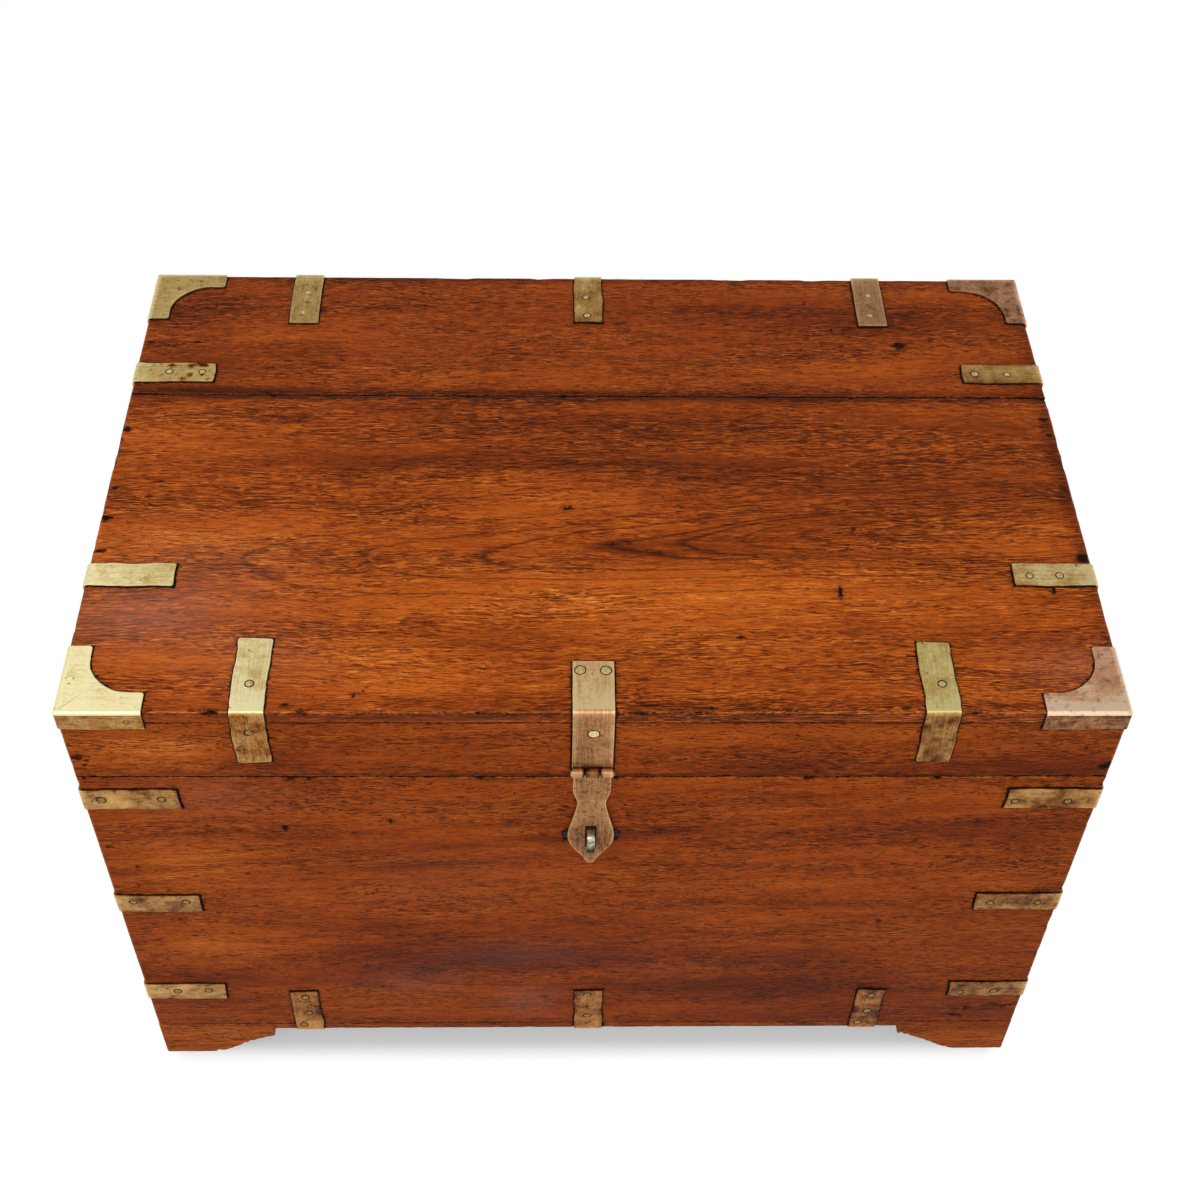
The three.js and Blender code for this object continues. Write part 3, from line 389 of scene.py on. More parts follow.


# Sheet brass, beaten and cut by hand: rubbed pale where hands and cloths pass, and tarnished
# olive-brown where they do not; its upright faces are darker than its tops, tarnish with painted
# shade. The last three are how much further its cut edges have tarnished, where a value below zero
# pales them as rubbed brass with a painted highlight; how cloudy the tarnish is; and the noise above
# which a smear starts. Red and hasp are gunmetal, with more copper in it, so it keeps a pink cast.
brassKeys = ("gleam", "bright", "body", "tarnish", "stain", "rim", "blotch", "smears")
brassTones = {
    "yellow": ("#f7eab4", "#eddb9e", "#dac07a", "#96591b", "#4a2810", -0.16, 0.42, 0.64),
    "olive": ("#efdc98", "#e2ca80", "#cdaa60", "#7d4a1a", "#3a1f0c", 0.0, 0.7, 0.64),
    "aged": ("#f4dca0", "#e6c988", "#cda05c", "#7d4a1a", "#3a1f0c", 0.08, 0.9, 0.64),
    "foot": ("#f0d494", "#e2c07a", "#ca8c40", "#7d440f", "#341806", 0.08, 0.9, 0.64),
    "red": ("#fad8b6", "#f2c69c", "#dba47c", "#8a5c39", "#47260f", -0.12, 0.7, 0.58),
    "hasp": ("#fbdda4", "#f2ca8c", "#d4a472", "#875730", "#3d2211", -0.30, 0.38, 0.64),
}
# size in mm of the cells of each noise, for the scratches across the sheet's own length and width
sheetNoise = {
    "clouds": ((17, 17, 17), 3.0), "fine": ((2.6, 2.6, 2.6), 3.0), "pitSize": ((9, 9, 9), 2.0),
    "pitZone": ((16, 16, 16), 1.0), "smear": ((6, 6, 6), 4.0), "scratches": ((18, 0.6, 1), 2.0),
    "crossed": ((0.7, 9, 1), 2.0),
}
# tarnish at which each colour starts, and weights in it; pits and smears; weights in roughness and relief
sheet = {
    "levels": (0.0, 0.12, 0.30, 0.80, 1.0), "clean": -0.46, "fine": 0.36, "scratched": 0.56, "folded": -0.42,
    "pitScale": 230.0, "pitSizes": (0.35, 0.7, 0.05, 0.26), "pitZones": (0.56, 0.62, 0.0, 0.7),
    "smearWorn": 0.14, "smearReach": 0.2, "smearMost": 0.7,
    "polished": 0.27, "rough": {"fine": 0.12, "level": 0.18, "stain": 0.3},
    "height": {"scratches": 0.30, "crossed": 0.14, "clouds": 0.9, "pits": -0.5},
    "bump": 0.45, "bumpDepth": 0.00022,
}


def brassFinish(name, tones):
    # Level is how far the tarnish has gone, from 0 to 1: weighted noises, plus what the sheet's own
    # attributes say, with painted shade on upright faces and a painted highlight on pale rims and
    # folds. The colour, the roughness and the smears follow it.
    material, add = newMaterial(name)
    tone = dict(zip(brassKeys, brassTones[tones]))
    place = add("TexCoord")["Object"]
    sheetUv = add("UVMap", {"uv_map": "UVMap"})[0]
    noise = {}
    for order, (label, (sizes, detail)) in enumerate(sheetNoise.items()):
        source = sheetUv if label in ("scratches", "crossed") else place
        drawn = add("VectorMath", multiplyAdd, [source, tuple(1000 / size for size in sizes),
                                                (6.1 * order, 2.3 * order, 4.7 * order)])[0]
        noise[label] = add("TexNoise", {}, {"Vector": drawn, "Scale": 1.0, "Detail": detail})[0]

    level = sheet["clean"] - tone["blotch"] / 2
    for label, weight in (("clouds", tone["blotch"]), ("fine", sheet["fine"]),
                          ("scratches", sheet["scratched"])):
        level = add("Math", multiplyAdd, [noise[label], weight, level])[0]
    # the attribute's tarnish with its painted shade, more at its rim, less on its rubbed fold; a rim
    # weight below zero pales the rim instead, and the paler rim and fold are rubbed brass with a
    # painted highlight
    for label, weight in (("tarnish", 1.0), ("rim", tone["rim"]), ("fold", sheet["folded"])):
        share = add("Attribute", {"attribute_name": label})["Fac"]
        level = add("Math", {**multiplyAdd, "use_clamp": label == "fold"}, [share, weight, level])[0]
    colour = add("ValToRGB", {"stops": list(zip(sheet["levels"], brassTones[tones]))}, [level])[0]

    # pits and smears that no cloth reaches
    pit = add("TexVoronoi", {}, {"Vector": place, "Scale": sheet["pitScale"]})["Distance"]
    size = add("MapRange", {}, [noise["pitSize"], *sheet["pitSizes"]])[0]
    pits = add("Math", {"operation": "LESS_THAN"}, [pit, size])[0]
    chosen = add("MapRange", {}, [noise["pitZone"], *sheet["pitZones"]])[0]
    pits = add("Math", multiply, [pits, chosen])[0]
    worn = add("Math", multiplyAdd, [level, sheet["smearWorn"], noise["smear"]])[0]
    smears = (tone["smears"], tone["smears"] + sheet["smearReach"], 0.0, sheet["smearMost"])
    smear = add("MapRange", {}, [worn, *smears])[0]
    stain = add("Math", larger, [pits, smear])[0]
    colour = add("Mix", colourMix, {0: stain, 6: colour, 7: linear(tone["stain"])})[2]

    rough, height = sheet["polished"], -0.5
    shares = {**noise, "level": level, "stain": stain, "pits": pits}
    for label, weight in sheet["rough"].items():
        rough = add("Math", multiplyAdd, [shares[label], weight, rough])[0]
    for label, weight in sheet["height"].items():
        height = add("Math", multiplyAdd, [shares[label], weight, height])[0]
    bump = add("Bump", {}, {"Strength": sheet["bump"], "Distance": sheet["bumpDepth"], "Height": height})[0]
    shader = add("BsdfPrincipled", {},
                 {"Base Color": colour, "Metallic": 1.0, "Roughness": rough, "Normal": bump})[0]
    add("OutputMaterial", {}, {"Surface": shader})
    return material


def forgedMetal(name, light, dark, roughness, grainSize, collar=None):
    # Forged or drawn metal: two tones in a fine mottle, rougher where it is dark. Where the collar
    # attribute is 1, the collar's colour lies on it, dull and without metal: dirt round a nail's head,
    # and painted shade at the foot of the staple's loop.
    material, add = newMaterial(name)
    place = add("TexCoord")["Object"]
    noise = add("TexNoise", {}, {"Vector": place, "Scale": 1000 / grainSize, "Detail": 4.0})[0]
    colour = add("ValToRGB", {"stops": [(0.36, dark), (0.62, light)]}, [noise])[0]
    rough = add("MapRange", {}, [noise, 0.3, 0.7, roughness + 0.18, roughness - 0.06])[0]
    metal, specular = 1.0, 0.5
    if collar:
        ring = add("Attribute", {"attribute_name": "collar"})["Fac"]
        colour = add("Mix", colourMix, {0: ring, 6: colour, 7: linear(collar)})[2]
        metal = add("Math", {"operation": "SUBTRACT"}, [1.0, ring])[0]
        rough = add("Math", multiplyAdd, [ring, 0.4, rough])[0]
        specular = add("Math", multiplyAdd, [ring, -0.45, 0.5])[0]
    bump = add("Bump", {}, {"Strength": 0.4, "Distance": 0.0002, "Height": noise})[0]
    shader = add("BsdfPrincipled", {}, {"Base Color": colour, "Metallic": metal, "Roughness": rough,
                                        "Specular IOR Level": specular, "Normal": bump})[0]
    add("OutputMaterial", {}, {"Surface": shader})
    return material


# A point of the pith in mm (place along the grain, across the face, into the board), the axis across
# the face, lean, skew, a place in the noise, and rings as (radius in mm, strength).
growthKeys = ("pith", "across", "lean", "skew", "seed", "rings")
growths = {
    "topFront": ((425, -84, 498), 1, 0.08, 0.075, 3.1,
                 ((8.4, 0.6), (14.4, 0.7), (17.6, 0.8), (21.6, 0.7), (26.3, 0.8), (30.1, 1.0),
                  (32.5, 1.0), (39.0, 0.95), (45.7, 0.8), (56.0, 0.8))),
    "topBack": ((-520, 150, 430), 1, 0.05, 0.03, 11.7, ((38, 0.5), (47, 0.7), (55, 0.6))),
    "lidRail": ((700, 380, -243), 2, 0.05, 0.04, 19.2, ((40, 0.6), (52, 0.5))),
    "wall": ((470, 150, -243), 2, 0.09, 0.12, 27.9,
             ((10, 0.5), (13, 0.5), (16.5, 0.6), (21, 0.6), (27, 0.5), (34, 0.5), (41, 0.4),
              (50, 0.5), (57, 0.4))),
    "wallBack": ((-450, 260, 250), 2, 0.08, -0.05, 35.3, ((20, 0.6), (31, 0.6), (45, 0.7))),
    "end": ((420, 230, -381), 2, 0.08, 0.06, 43.6, ((18, 0.6), (29, 0.7), (44, 0.6))),
    "plinth": ((600, -40, -243), 2, 0.03, 0.01, 51.8, ((30, 0.5), (50, 0.6))),
    "inside": ((500, 40, 40), 1, 0.06, 0.03, 61.4, ((22, 0.6), (40, 0.6))),
}
finishes = {
    # the lid's planks, waxed and polished most: a crisp figure with a soft gleam
    "topFront": woodFinish("waxedMahoganyTop", "top", "topFront", gleam=0.045, pore=0.86, crisp=1.4),
    "topBack": woodFinish("waxedMahoganyBackPlank", "back", "topBack", gleam=0.045, crisp=1.1),
    # rails and walls, waxed but handled less: darker, and softer in the figure
    "lidRail": woodFinish("waxedMahoganyLidRail", "case", "lidRail"),
    "wall": woodFinish("waxedMahoganyWall", "case", "wall"),
    "wallBack": woodFinish("waxedMahoganyBackWall", "case", "wallBack"),
    "wallEnd": woodFinish("waxedMahoganyEndWall", "case", "end", "y"),
    # the plinth, scuffed by the floor: duller and a little paler
    "plinth": woodFinish("waxedMahoganyPlinth", "plinth", "plinth", gloss=0.5),
    "plinthEnd": woodFinish("waxedMahoganyPlinthEnd", "plinth", "plinth", "y", gloss=0.5),
    # planed and never waxed, so it stays pale and dry
    "bare": woodFinish("planedMahogany", "bare", "inside", gloss=0.68, pore=0.7),
    "bareEnd": woodFinish("planedMahoganyEnds", "bare", "inside", "y", gloss=0.68, pore=0.7),
    # rubbed bright by hands, half dulled, and left to tarnish; the feet's is darker
    "yellow": brassFinish("sheetBrassRubbed", "yellow"),
    "olive": brassFinish("sheetBrassDulled", "olive"),
    "aged": brassFinish("sheetBrassTarnished", "aged"),
    "foot": brassFinish("sheetBrassAtTheFloor", "foot"),
    # pink gunmetal, pitted at the corners and worn smooth on the hasp
    "red": brassFinish("gunmetalSheet", "red"),
    "hasp": brassFinish("haspBrass", "hasp"),
    # brass nails, filed flush and rubbed bright or left dull, each in its ring of dirt
    "nail": forgedMetal("brassNail", "#f0dfa0", "#c39f5c", 0.30, 1.6, collar="#2a1810"),
    "dullNail": forgedMetal("tarnishedNail", "#a98245", "#6f4e26", 0.40, 1.6, collar="#24140c"),
    # blackened iron, dull and pitted
    "iron": forgedMetal("blackenedIron", "#37302b", "#191512", 0.52, 2.2),
    # steel rubbed bright by the hasp, with painted shade at the foot of its loop
    "steel": forgedMetal("rubbedSteel", "#c9c3a8", "#7d7866", 0.26, 3.0, collar="#17110c"),
}
print("finishes made:", len(finishes))

# Brass that lies over the edges. Each strap's legs are measured from the edge that it bends over.
sheetBrass = {
    "thickness": 1.2, "bedding": 0.2, "foldRadius": 0.9, "foldReach": 1.5, "endCorner": 1.6,
    "edgeWander": 0.62, "edgeNick": 0.34, "beaten": 0.12, "nailRadius": 2.7, "rimReach": 0.9,
}
# corner straps: height of each level; of the front ones the leg, tarnish and nails that the photo shows
cornerStraps = {
    "levels": {"upper": 395.0, "middle": 251.5, "lower": 111.0}, "width": 23.4, "leg": 69.0,
    "sideTarnishAndShade": 0.66, "nails": [(17, -1), (54, 1.5)], "sideNails": [(-19, 1.5), (-52, -2)],
    ("left", "upper"): (72.0, 0.53, [(14, -0.5), (58.5, 0.2)]),
    ("left", "middle"): (67.5, 0.66, [(13, 3), (55.5, 2.8)]),
    ("left", "lower"): (68.0, 0.55, [(26.5, 1.0), (53, 1.9)]),
    ("right", "upper"): (70.5, 0.67, [(23, 3.2), (63, 3.3)]),
    ("right", "middle"): (69.0, 0.73, [(17, 1.2), (56, 1.4)]),
    ("right", "lower"): (67.0, 0.76, [(26.7, 3.5), (56, 5.2)]),
}
# foot straps: place along the chest, tarnish and nails; the legs under the arch are darker, tarnish
# with painted shade
footStraps = {
    "height": 43, "legs": (67.0, 13.6), "width": 24.0, "underTarnishAndShade": 0.85,
    "left": (-247, 0.66, [(57, -0.8), (30, -1.0), (9, 5)]),
    "centre": (0, 0.70, [(60, 1.2), (24, 0.8)]),
    "right": (247, 0.76, [(57, -0.8), (30, -1.0), (9, 5)]),
}
# lid straps: leg on top, tone, tarnish on top and on the upright face, and nails, for each place;
# the upright face's darker value is partly painted shade
lidStraps = {
    "frontAt": 247.3, "frontWidth": 24.6, "frontDrop": 57.0, "sideWidth": 22.6, "sideDrop": 57.5,
    "sideTarnishAndShade": 0.6, "sideNails": [(-22, 1)], "sideTones": {"left": "yellow", "right": "aged"},
    ("front", "left"): (68.0, "yellow", (0.10, 0.73), [(25.3, 0), (-21.5, 0)]),
    ("front", "right"): (65.5, "olive", (0.15, 0.68), [(25.3, -1.5)]),
    # over the ends: place from front to back, leg on top, tarnish on top, and nails
    ("left", "front"): (-112.0, 66.0, 0.19, []),
    ("left", "back"): (118.5, 66.5, 0.43, [(28.2, 0.6), (55.6, 0.4)]),
    ("right", "front"): (-110.0, 62.5, 0.16, [(50, 1.5), (27, 1.2)]),
    ("right", "back"): (121.0, 66.5, 0.42, [(28.2, 0.6), (55.6, 0.4)]),
    "backAt": -1.2, "backLegs": (62.5, 57.5), "backWidth": 24.4, "backTarnishAndShade": (0.40, 0.6),
    "backNails": [(28.5, -2.0), (53.5, -1.0), (-24, 0)],
}
straps = []


def axesOf(alongU, alongV):
    # the two directions given, and the one square to both
    alongU, alongV = np.array(alongU, float), np.array(alongV, float)
    return np.stack([alongU, alongV, np.cross(alongU, alongV)])


def addStrap(name, body, edge, alongU, alongV, legs, width, tone, nails, seed, tarnish):
    # legs are the lengths over the first and second face; nails are (place along, place across)
    straps.append({
        "name": name, "body": body, "edge": np.array(edge, float), "legU": legs[0], "legV": legs[1],
        "axes": axesOf(alongU, alongV), "half": width / 2,
        "tone": tone, "nails": nails, "seed": seed, "tarnish": tarnish,
        "stained": 0.75 if name == "lid_strap_left_back" else 0.16,
    })


def listStraps():
    # all straps, each with a seed of its own
    half, top = chest["halfWidth"], chest["top"]
    seed = 100
    for faceName, face in faceSigns.items():
        y = chest[faceName]
        for sideName, side in sideSigns.items():
            for level, height in cornerStraps["levels"].items():
                seed += 11
                leg, tarnish, nails = cornerStraps[sideName, level]
                if faceName == "back":
                    leg, nails = cornerStraps["leg"], cornerStraps["nails"]
                addStrap(f"corner_strap_{faceName}_{sideName}_{level}", "box", (side * half, y, height),
                         (-side, 0, 0), (0, -face, 0), (leg, cornerStraps["leg"]), cornerStraps["width"],
                         "aged", nails + cornerStraps["sideNails"], seed,
                         (tarnish, cornerStraps["sideTarnishAndShade"]))
        for place in ("left", "centre", "right"):
            seed += 11
            x, tarnish, nails = footStraps[place]
            addStrap(f"foot_strap_{faceName}_{place}", "box", (x, y, footStraps["height"]), (0, 0, 1),
                     (0, -face, 0), footStraps["legs"], footStraps["width"], "foot", nails, seed,
                     (tarnish, footStraps["underTarnishAndShade"]))
    down = (0, 0, -1)
    for sideName, side in sideSigns.items():
        seed += 11
        leg, tone, tarnish, nails = lidStraps["front", sideName]
        addStrap(f"lid_strap_front_{sideName}", "lid", (side * lidStraps["frontAt"], chest["front"], top),
                 (0, 1, 0), down, (leg, lidStraps["frontDrop"]), lidStraps["frontWidth"], tone, nails, seed,
                 tarnish)
        for faceName in faceSigns:
            seed += 11
            y, leg, tarnish, nails = lidStraps[sideName, faceName]
            addStrap(f"lid_strap_{sideName}_{faceName}", "lid", (side * half, y, top), (-side, 0, 0), down,
                     (leg, lidStraps["sideDrop"]), lidStraps["sideWidth"], lidStraps["sideTones"][sideName],
                     nails + lidStraps["sideNails"], seed, (tarnish, lidStraps["sideTarnishAndShade"]))
    addStrap("lid_strap_back_centre", "lid", (lidStraps["backAt"], chest["back"], top), (0, -1, 0), down,
             lidStraps["backLegs"], lidStraps["backWidth"], "aged", lidStraps["backNails"], seed + 11,
             lidStraps["backTarnishAndShade"])


listStraps()


def strapSides(strap, along):
    # both long edges of a strap: half its width, plus a slow wander and small nicks from the shears
    edges = []
    for sign, seed in ((-1, strap["seed"]), (1, strap["seed"] + 2)):
        edges.append(sign * strap["half"] + sheetBrass["edgeWander"] * ragged(along, 17, seed)
                     + sheetBrass["edgeNick"] * ragged(along, 4.5, seed + 1))
    return edges


def strapEnd(strap, across, end):
    # where a strap ends: its leg, a wander, and a small slant, so that it isn't square
    wander = 0.7 * ragged(across, 13, strap["seed"] + 5 + end) + 0.02 * across * (strap["seed"] % 5 - 2)
    return (strap["legU"], strap["legV"])[end] + wander


def sheetPlace(axes, edge, u, v, w):
    # the edge's place, plus u, v and w along the three axes
    return np.array(edge) + u[..., None] * axes[0] + v[..., None] * axes[1] + w[..., None] * axes[2]


def foldPath(along, offset):
    # (u, v) of a sheet over a square edge, from its place along the two faces: straight on each
    # face, and a quarter circle of radius foldRadius + offset between -foldReach and foldReach
    reach, inner = sheetBrass["foldReach"], sheetBrass["foldRadius"]
    angle = np.clip((along / reach + 1) / 2, 0, 1) * quarter
    radius = inner + offset
    u = inner - radius * np.cos(angle) + np.maximum(along - reach, 0)
    v = inner - radius * np.sin(angle) + np.maximum(-along - reach, 0)
    return u, v


def foldRubAndHighlight(past, onTop):
    # how far a fold is rubbed pale, which is also a painted highlight: 0.6 * exp(-(distance / 2) ** 2),
    # and on top also 0.4 * exp(-(distance / 13) ** 2)
    return 0.6 * np.exp(-(past / 2.0) ** 2) + 0.4 * np.exp(-(past / 13.0) ** 2) * onTop


def makeStrap(strap):
    # Surface of two parameters: place along the strap and share across it. The share runs between
    # the two ragged edges, and the ends have round corners: inset = r - sqrt(r^2 - (r - d)^2).
    legU, legV = strap["legU"], strap["legV"]
    inner = np.concatenate([np.linspace(-legV, -6, 22)[:-1], np.linspace(-6, 6, 13),
                            np.linspace(6, legU, 26)[1:]])
    ends = np.array([0.15, 0.5, 1.0, 1.6])
    along = np.unique(np.concatenate([inner, ends - legV, legU - ends]))
    share = np.array([-1, -0.97, -0.9, -0.75, -0.5, -0.25, 0, 0.25, 0.5, 0.75, 0.9, 0.97, 1.0])
    s, t = np.meshgrid(along, share, indexing="ij")
    low, high = strapSides(strap, s)
    corner = sheetBrass["endCorner"]
    reach = np.clip(np.minimum(legU - s, legV + s), 0, corner)
    inset = corner - np.sqrt(np.maximum(corner ** 2 - (corner - reach) ** 2, 0))
    w = (low + inset) + (high - low - 2 * inset) * (t + 1) / 2
    stretch = np.where(s > 0, strapEnd(strap, w, 0) / legU, strapEnd(strap, w, 1) / legV)
    ease = np.clip(np.abs(s) / np.where(s > 0, legU, legV), 0, 1) ** 6
    s = s * (1 + (stretch - 1) * ease)
    flat = np.stack([s.ravel(), w.ravel(), np.zeros(s.size)], 1)
    beaten = sheetBrass["beaten"] * softNoise(flat, 6.5, strap["seed"] + 7).reshape(s.shape)
    offset = sheetBrass["bedding"] + sheetBrass["thickness"] / 2 - beaten
    points = sheetPlace(strap["axes"], strap["edge"], *foldPath(s, offset), w).reshape(-1, 3)
    faces = faceOutwards(points, gridFaces(*s.shape), chest["centre"])
    # stains where sweat and wax have sat
    spots = patchy(points, 5.5, strap["seed"] + 8, 0.60, 5)
    fromRim = np.minimum.reduce([w - low, high - w, strapEnd(strap, w, 0) - s, strapEnd(strap, w, 1) + s])
    # the fold's value pales the fold: rubbed brass with a painted highlight
    # where one leg lies on top, the other leg's darker tarnish is partly painted shade
    values = {
        "rim": np.exp(-np.maximum(fromRim, 0) / sheetBrass["rimReach"]).ravel(),
        "fold": foldRubAndHighlight(s, s > 0).ravel(),
        "tarnish": np.where(s > 0, *strap["tarnish"]).ravel() + strap["stained"] * spots,
    }
    uv = np.stack([s.ravel() + strap["seed"] * 7, w.ravel()], 1)
    piece = makePiece(strap["name"] + "_brass", points, faces, strap["body"], [strap["tone"]], values, uv)
    finishSheet(piece, sheetBrass["thickness"])
    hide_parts(strap["name"])


for strap in straps:
    makeStrap(strap)
print("straps made:", len(straps))

# the lid's three-sided corners
bracket = {"leg": 60.4, "band": 17.0, "hollow": 34.0, "flange": 17.4, "endRound": 2.4, "wander": 0.35}
bracketTones = {
    # tone, tarnish on top and on the flange, and how much brighter it is rubbed along its edge, which
    # is also a painted highlight; the flange's darker value is partly painted shade
    ("left", "front"): ("yellow", 0.06, 0.66, 0.12), ("right", "front"): ("red", 0.29, 0.81, 0.52),
    ("left", "back"): ("yellow", 0.45, 0.66, 0.0), ("right", "back"): ("red", 0.60, 0.81, 0.0),
}


def column(values):
    # values as one column, to spread over a grid
    return np.asarray(values, float)[:, None]


def makeBracket(sideName, faceName):
    # Surface of two parameters. The first runs from the end of one leg round the corner to the end
    # of the other; the second runs from the hollow inner edge to the outer edge, over the fold
    # and down the upright face. The inner edge is straight along the legs and a quarter circle
    # between them.
    side, face = sideSigns[sideName], faceSigns[faceName]
    tone, tarnish, flangeTarnishAndShade, polishAndHighlight = bracketTones[sideName, faceName]
    leg, band, hollow, flange = (bracket[key] for key in ("leg", "band", "hollow", "flange"))
    inner, endRound = sheetBrass["foldRadius"], bracket["endRound"]
    centre = band + hollow
    outer = np.concatenate([leg - np.array([0, 0.15, 0.6, 1.3, endRound]),
                            np.linspace(leg - 3.2, centre, 5)[:-1], np.linspace(centre, 5, 22)[:-1],
                            np.linspace(5, inner, 4)])
    angle = -quarter - quarter / 2 * np.clip((centre - outer) / (centre - inner), 0, 1)
    wander = bracket["wander"] * ragged(outer, 9, 300 + side * 3 + face)
    edgeX = np.where(outer > centre, outer, centre + (hollow - wander) * np.cos(angle))
    edgeY = np.where(outer > centre, band + wander, centre + (hollow - wander) * np.sin(angle))
    legEnd = np.clip((leg - outer) / endRound, 0, 1)
    edgeY = edgeY - endRound * (1 - np.sqrt(1 - (1 - legEnd) ** 2))
    # one leg, the turn of the corner, and the other leg
    turn = np.radians([18, 36, 54, 72])
    flatLeg, flatTurn = np.full(len(outer), inner), np.full(len(turn), inner)
    foldX = np.concatenate([outer, flatTurn, flatLeg])
    foldY = np.concatenate([flatLeg, flatTurn, outer[::-1]])
    innerX = np.concatenate([edgeX, np.full(len(turn), edgeX[-1]), edgeY[::-1]])
    innerY = np.concatenate([edgeY, np.full(len(turn), edgeY[-1]), edgeX[::-1]])
    outX = np.concatenate([np.zeros(len(outer)), -np.sin(turn), -np.ones(len(outer))])
    outY = np.concatenate([-np.ones(len(outer)), -np.cos(turn), np.zeros(len(outer))])
    middle = sheetBrass["bedding"] + sheetBrass["thickness"] / 2
    radius = inner + middle
    across = np.array([0, 0.03, 0.1, 0.25, 0.45, 0.65, 0.85])
    bend = np.linspace(0, quarter, 6)
    down = np.array([1, 3, 7, 11, 14.5, 16.3, flange - 0.9])
    rows = len(foldX)
    ones = [np.ones((rows, len(part))) for part in (across, bend, down)]

    top = [column(inside) + column(fold - inside) * across
           for inside, fold in ((innerX, foldX), (innerY, foldY))]
    folds = ((foldX, outX), (foldY, outY))
    bent = [column(fold) + radius * np.sin(bend) * column(out) for fold, out in folds]
    upright = [column(fold + radius * out) * ones[2] for fold, out in folds]
    lower = 0.45 * ragged(column(foldX - foldY) * ones[2], 11, 320 + side * 5 + face)
    x, flatY = (np.concatenate([top[k], bent[k], upright[k]], 1) for k in (0, 1))
    z = np.concatenate([middle * ones[0], (radius * np.cos(bend) - inner) * ones[1],
                        -inner - down + lower * down / flange], 1)
    flat = np.stack([x.ravel(), flatY.ravel(), z.ravel()], 1)
    beaten = 0.1 * softNoise(flat, 9, 340 + side + face).reshape(x.shape)
    corner = np.array([side * chest["halfWidth"], chest[faceName], chest["top"]])
    points = corner + np.stack([-side * (x + beaten * 0.3), -face * (flatY + beaten * 0.3), z - beaten], -1)
    points = points.reshape(-1, 3)
    faces = faceOutwards(points, gridFaces(rows, x.shape[1]), chest["centre"])
    # place across the sheet: up to 0.8 on top, 1 on the bend, and more down the flange
    place = np.concatenate([0.8 * across * ones[0], ones[1], (down / 17 + 1) * ones[2]], 1)
    fromEnd = column(np.minimum(np.arange(rows), np.arange(rows)[::-1])) * 1.1
    # the polish pales the top near the front edge: rubbed brass with a painted highlight
    values = {
        "rim": np.maximum(np.exp(-place / 0.06), np.exp(-fromEnd / 1.0)).ravel(),
        "fold": np.concatenate([0 * ones[0], ones[1], 0 * ones[2]], 1).ravel(),
        "tarnish": np.where(place > 1.01, flangeTarnishAndShade,
                            tarnish - polishAndHighlight * np.exp(-(flatY / 11) ** 2)).ravel(),
    }
    uv = np.stack([x.ravel() + 90 * side, (flatY + z).ravel() + 50 * face], 1)
    name = f"lid_corner_{faceName}_{sideName}"
    piece = makePiece(name + "_brass", points, faces, "lid", [tone], values, uv)
    finishSheet(piece, sheetBrass["thickness"])
    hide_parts(name)


for sideName, faceName in bracketTones:
    makeBracket(sideName, faceName)
print("lid corners made:", len(bracketTones))


# Hinges, hasp and staple. Each is a path in the plane square to its edge, given width.
rollTurn = math.radians(290)  # how far a knuckle is rolled round its pin


def walkPath(start, heading, steps, step=2.0, turnStep=math.radians(9)):
    # Places (u, v), headings and lengths of a middle line. Each step is (run, turn, radius): first
    # the turn, on a circle of that radius, and then the run, straight on.
    u, v = start
    line = [(u, v, heading, 0.0)]
    length = 0.0
    for run, turn, radius in steps:
        side = math.copysign(radius, turn)
        centre = (u - math.sin(heading) * side, v + math.cos(heading) * side)
        parts = max(1, math.ceil(abs(turn) / turnStep)) if turn else 0
        for part in range(1, parts + 1):
            angle = heading + turn * part / parts
            line.append((centre[0] + math.sin(angle) * side, centre[1] - math.cos(angle) * side,
                         angle, length + abs(turn) * radius * part / parts))
        u, v, heading, length = line[-1]
        parts = max(1, math.ceil(run / step)) if run else 0
        for part in range(1, parts + 1):
            done = run * part / parts
            line.append((u + math.cos(heading) * done, v + math.sin(heading) * done, heading, length + done))
        u, v, heading, length = line[-1]
    return np.array(line)


def pathOver(top, drop, middle, roll):
    # path of a strap: from its end on top, over the lid's edge, down, and round a pin; and the
    # length at which the roll begins
    edge = sheetBrass["foldRadius"]
    steps = [(top - edge, 0, 0), (0, -quarter, edge + middle), (drop - edge, 0, 0), (0, rollTurn, roll)]
    return walkPath((top, -middle), math.pi, steps), top - edge + quarter * (edge + middle) + drop - edge


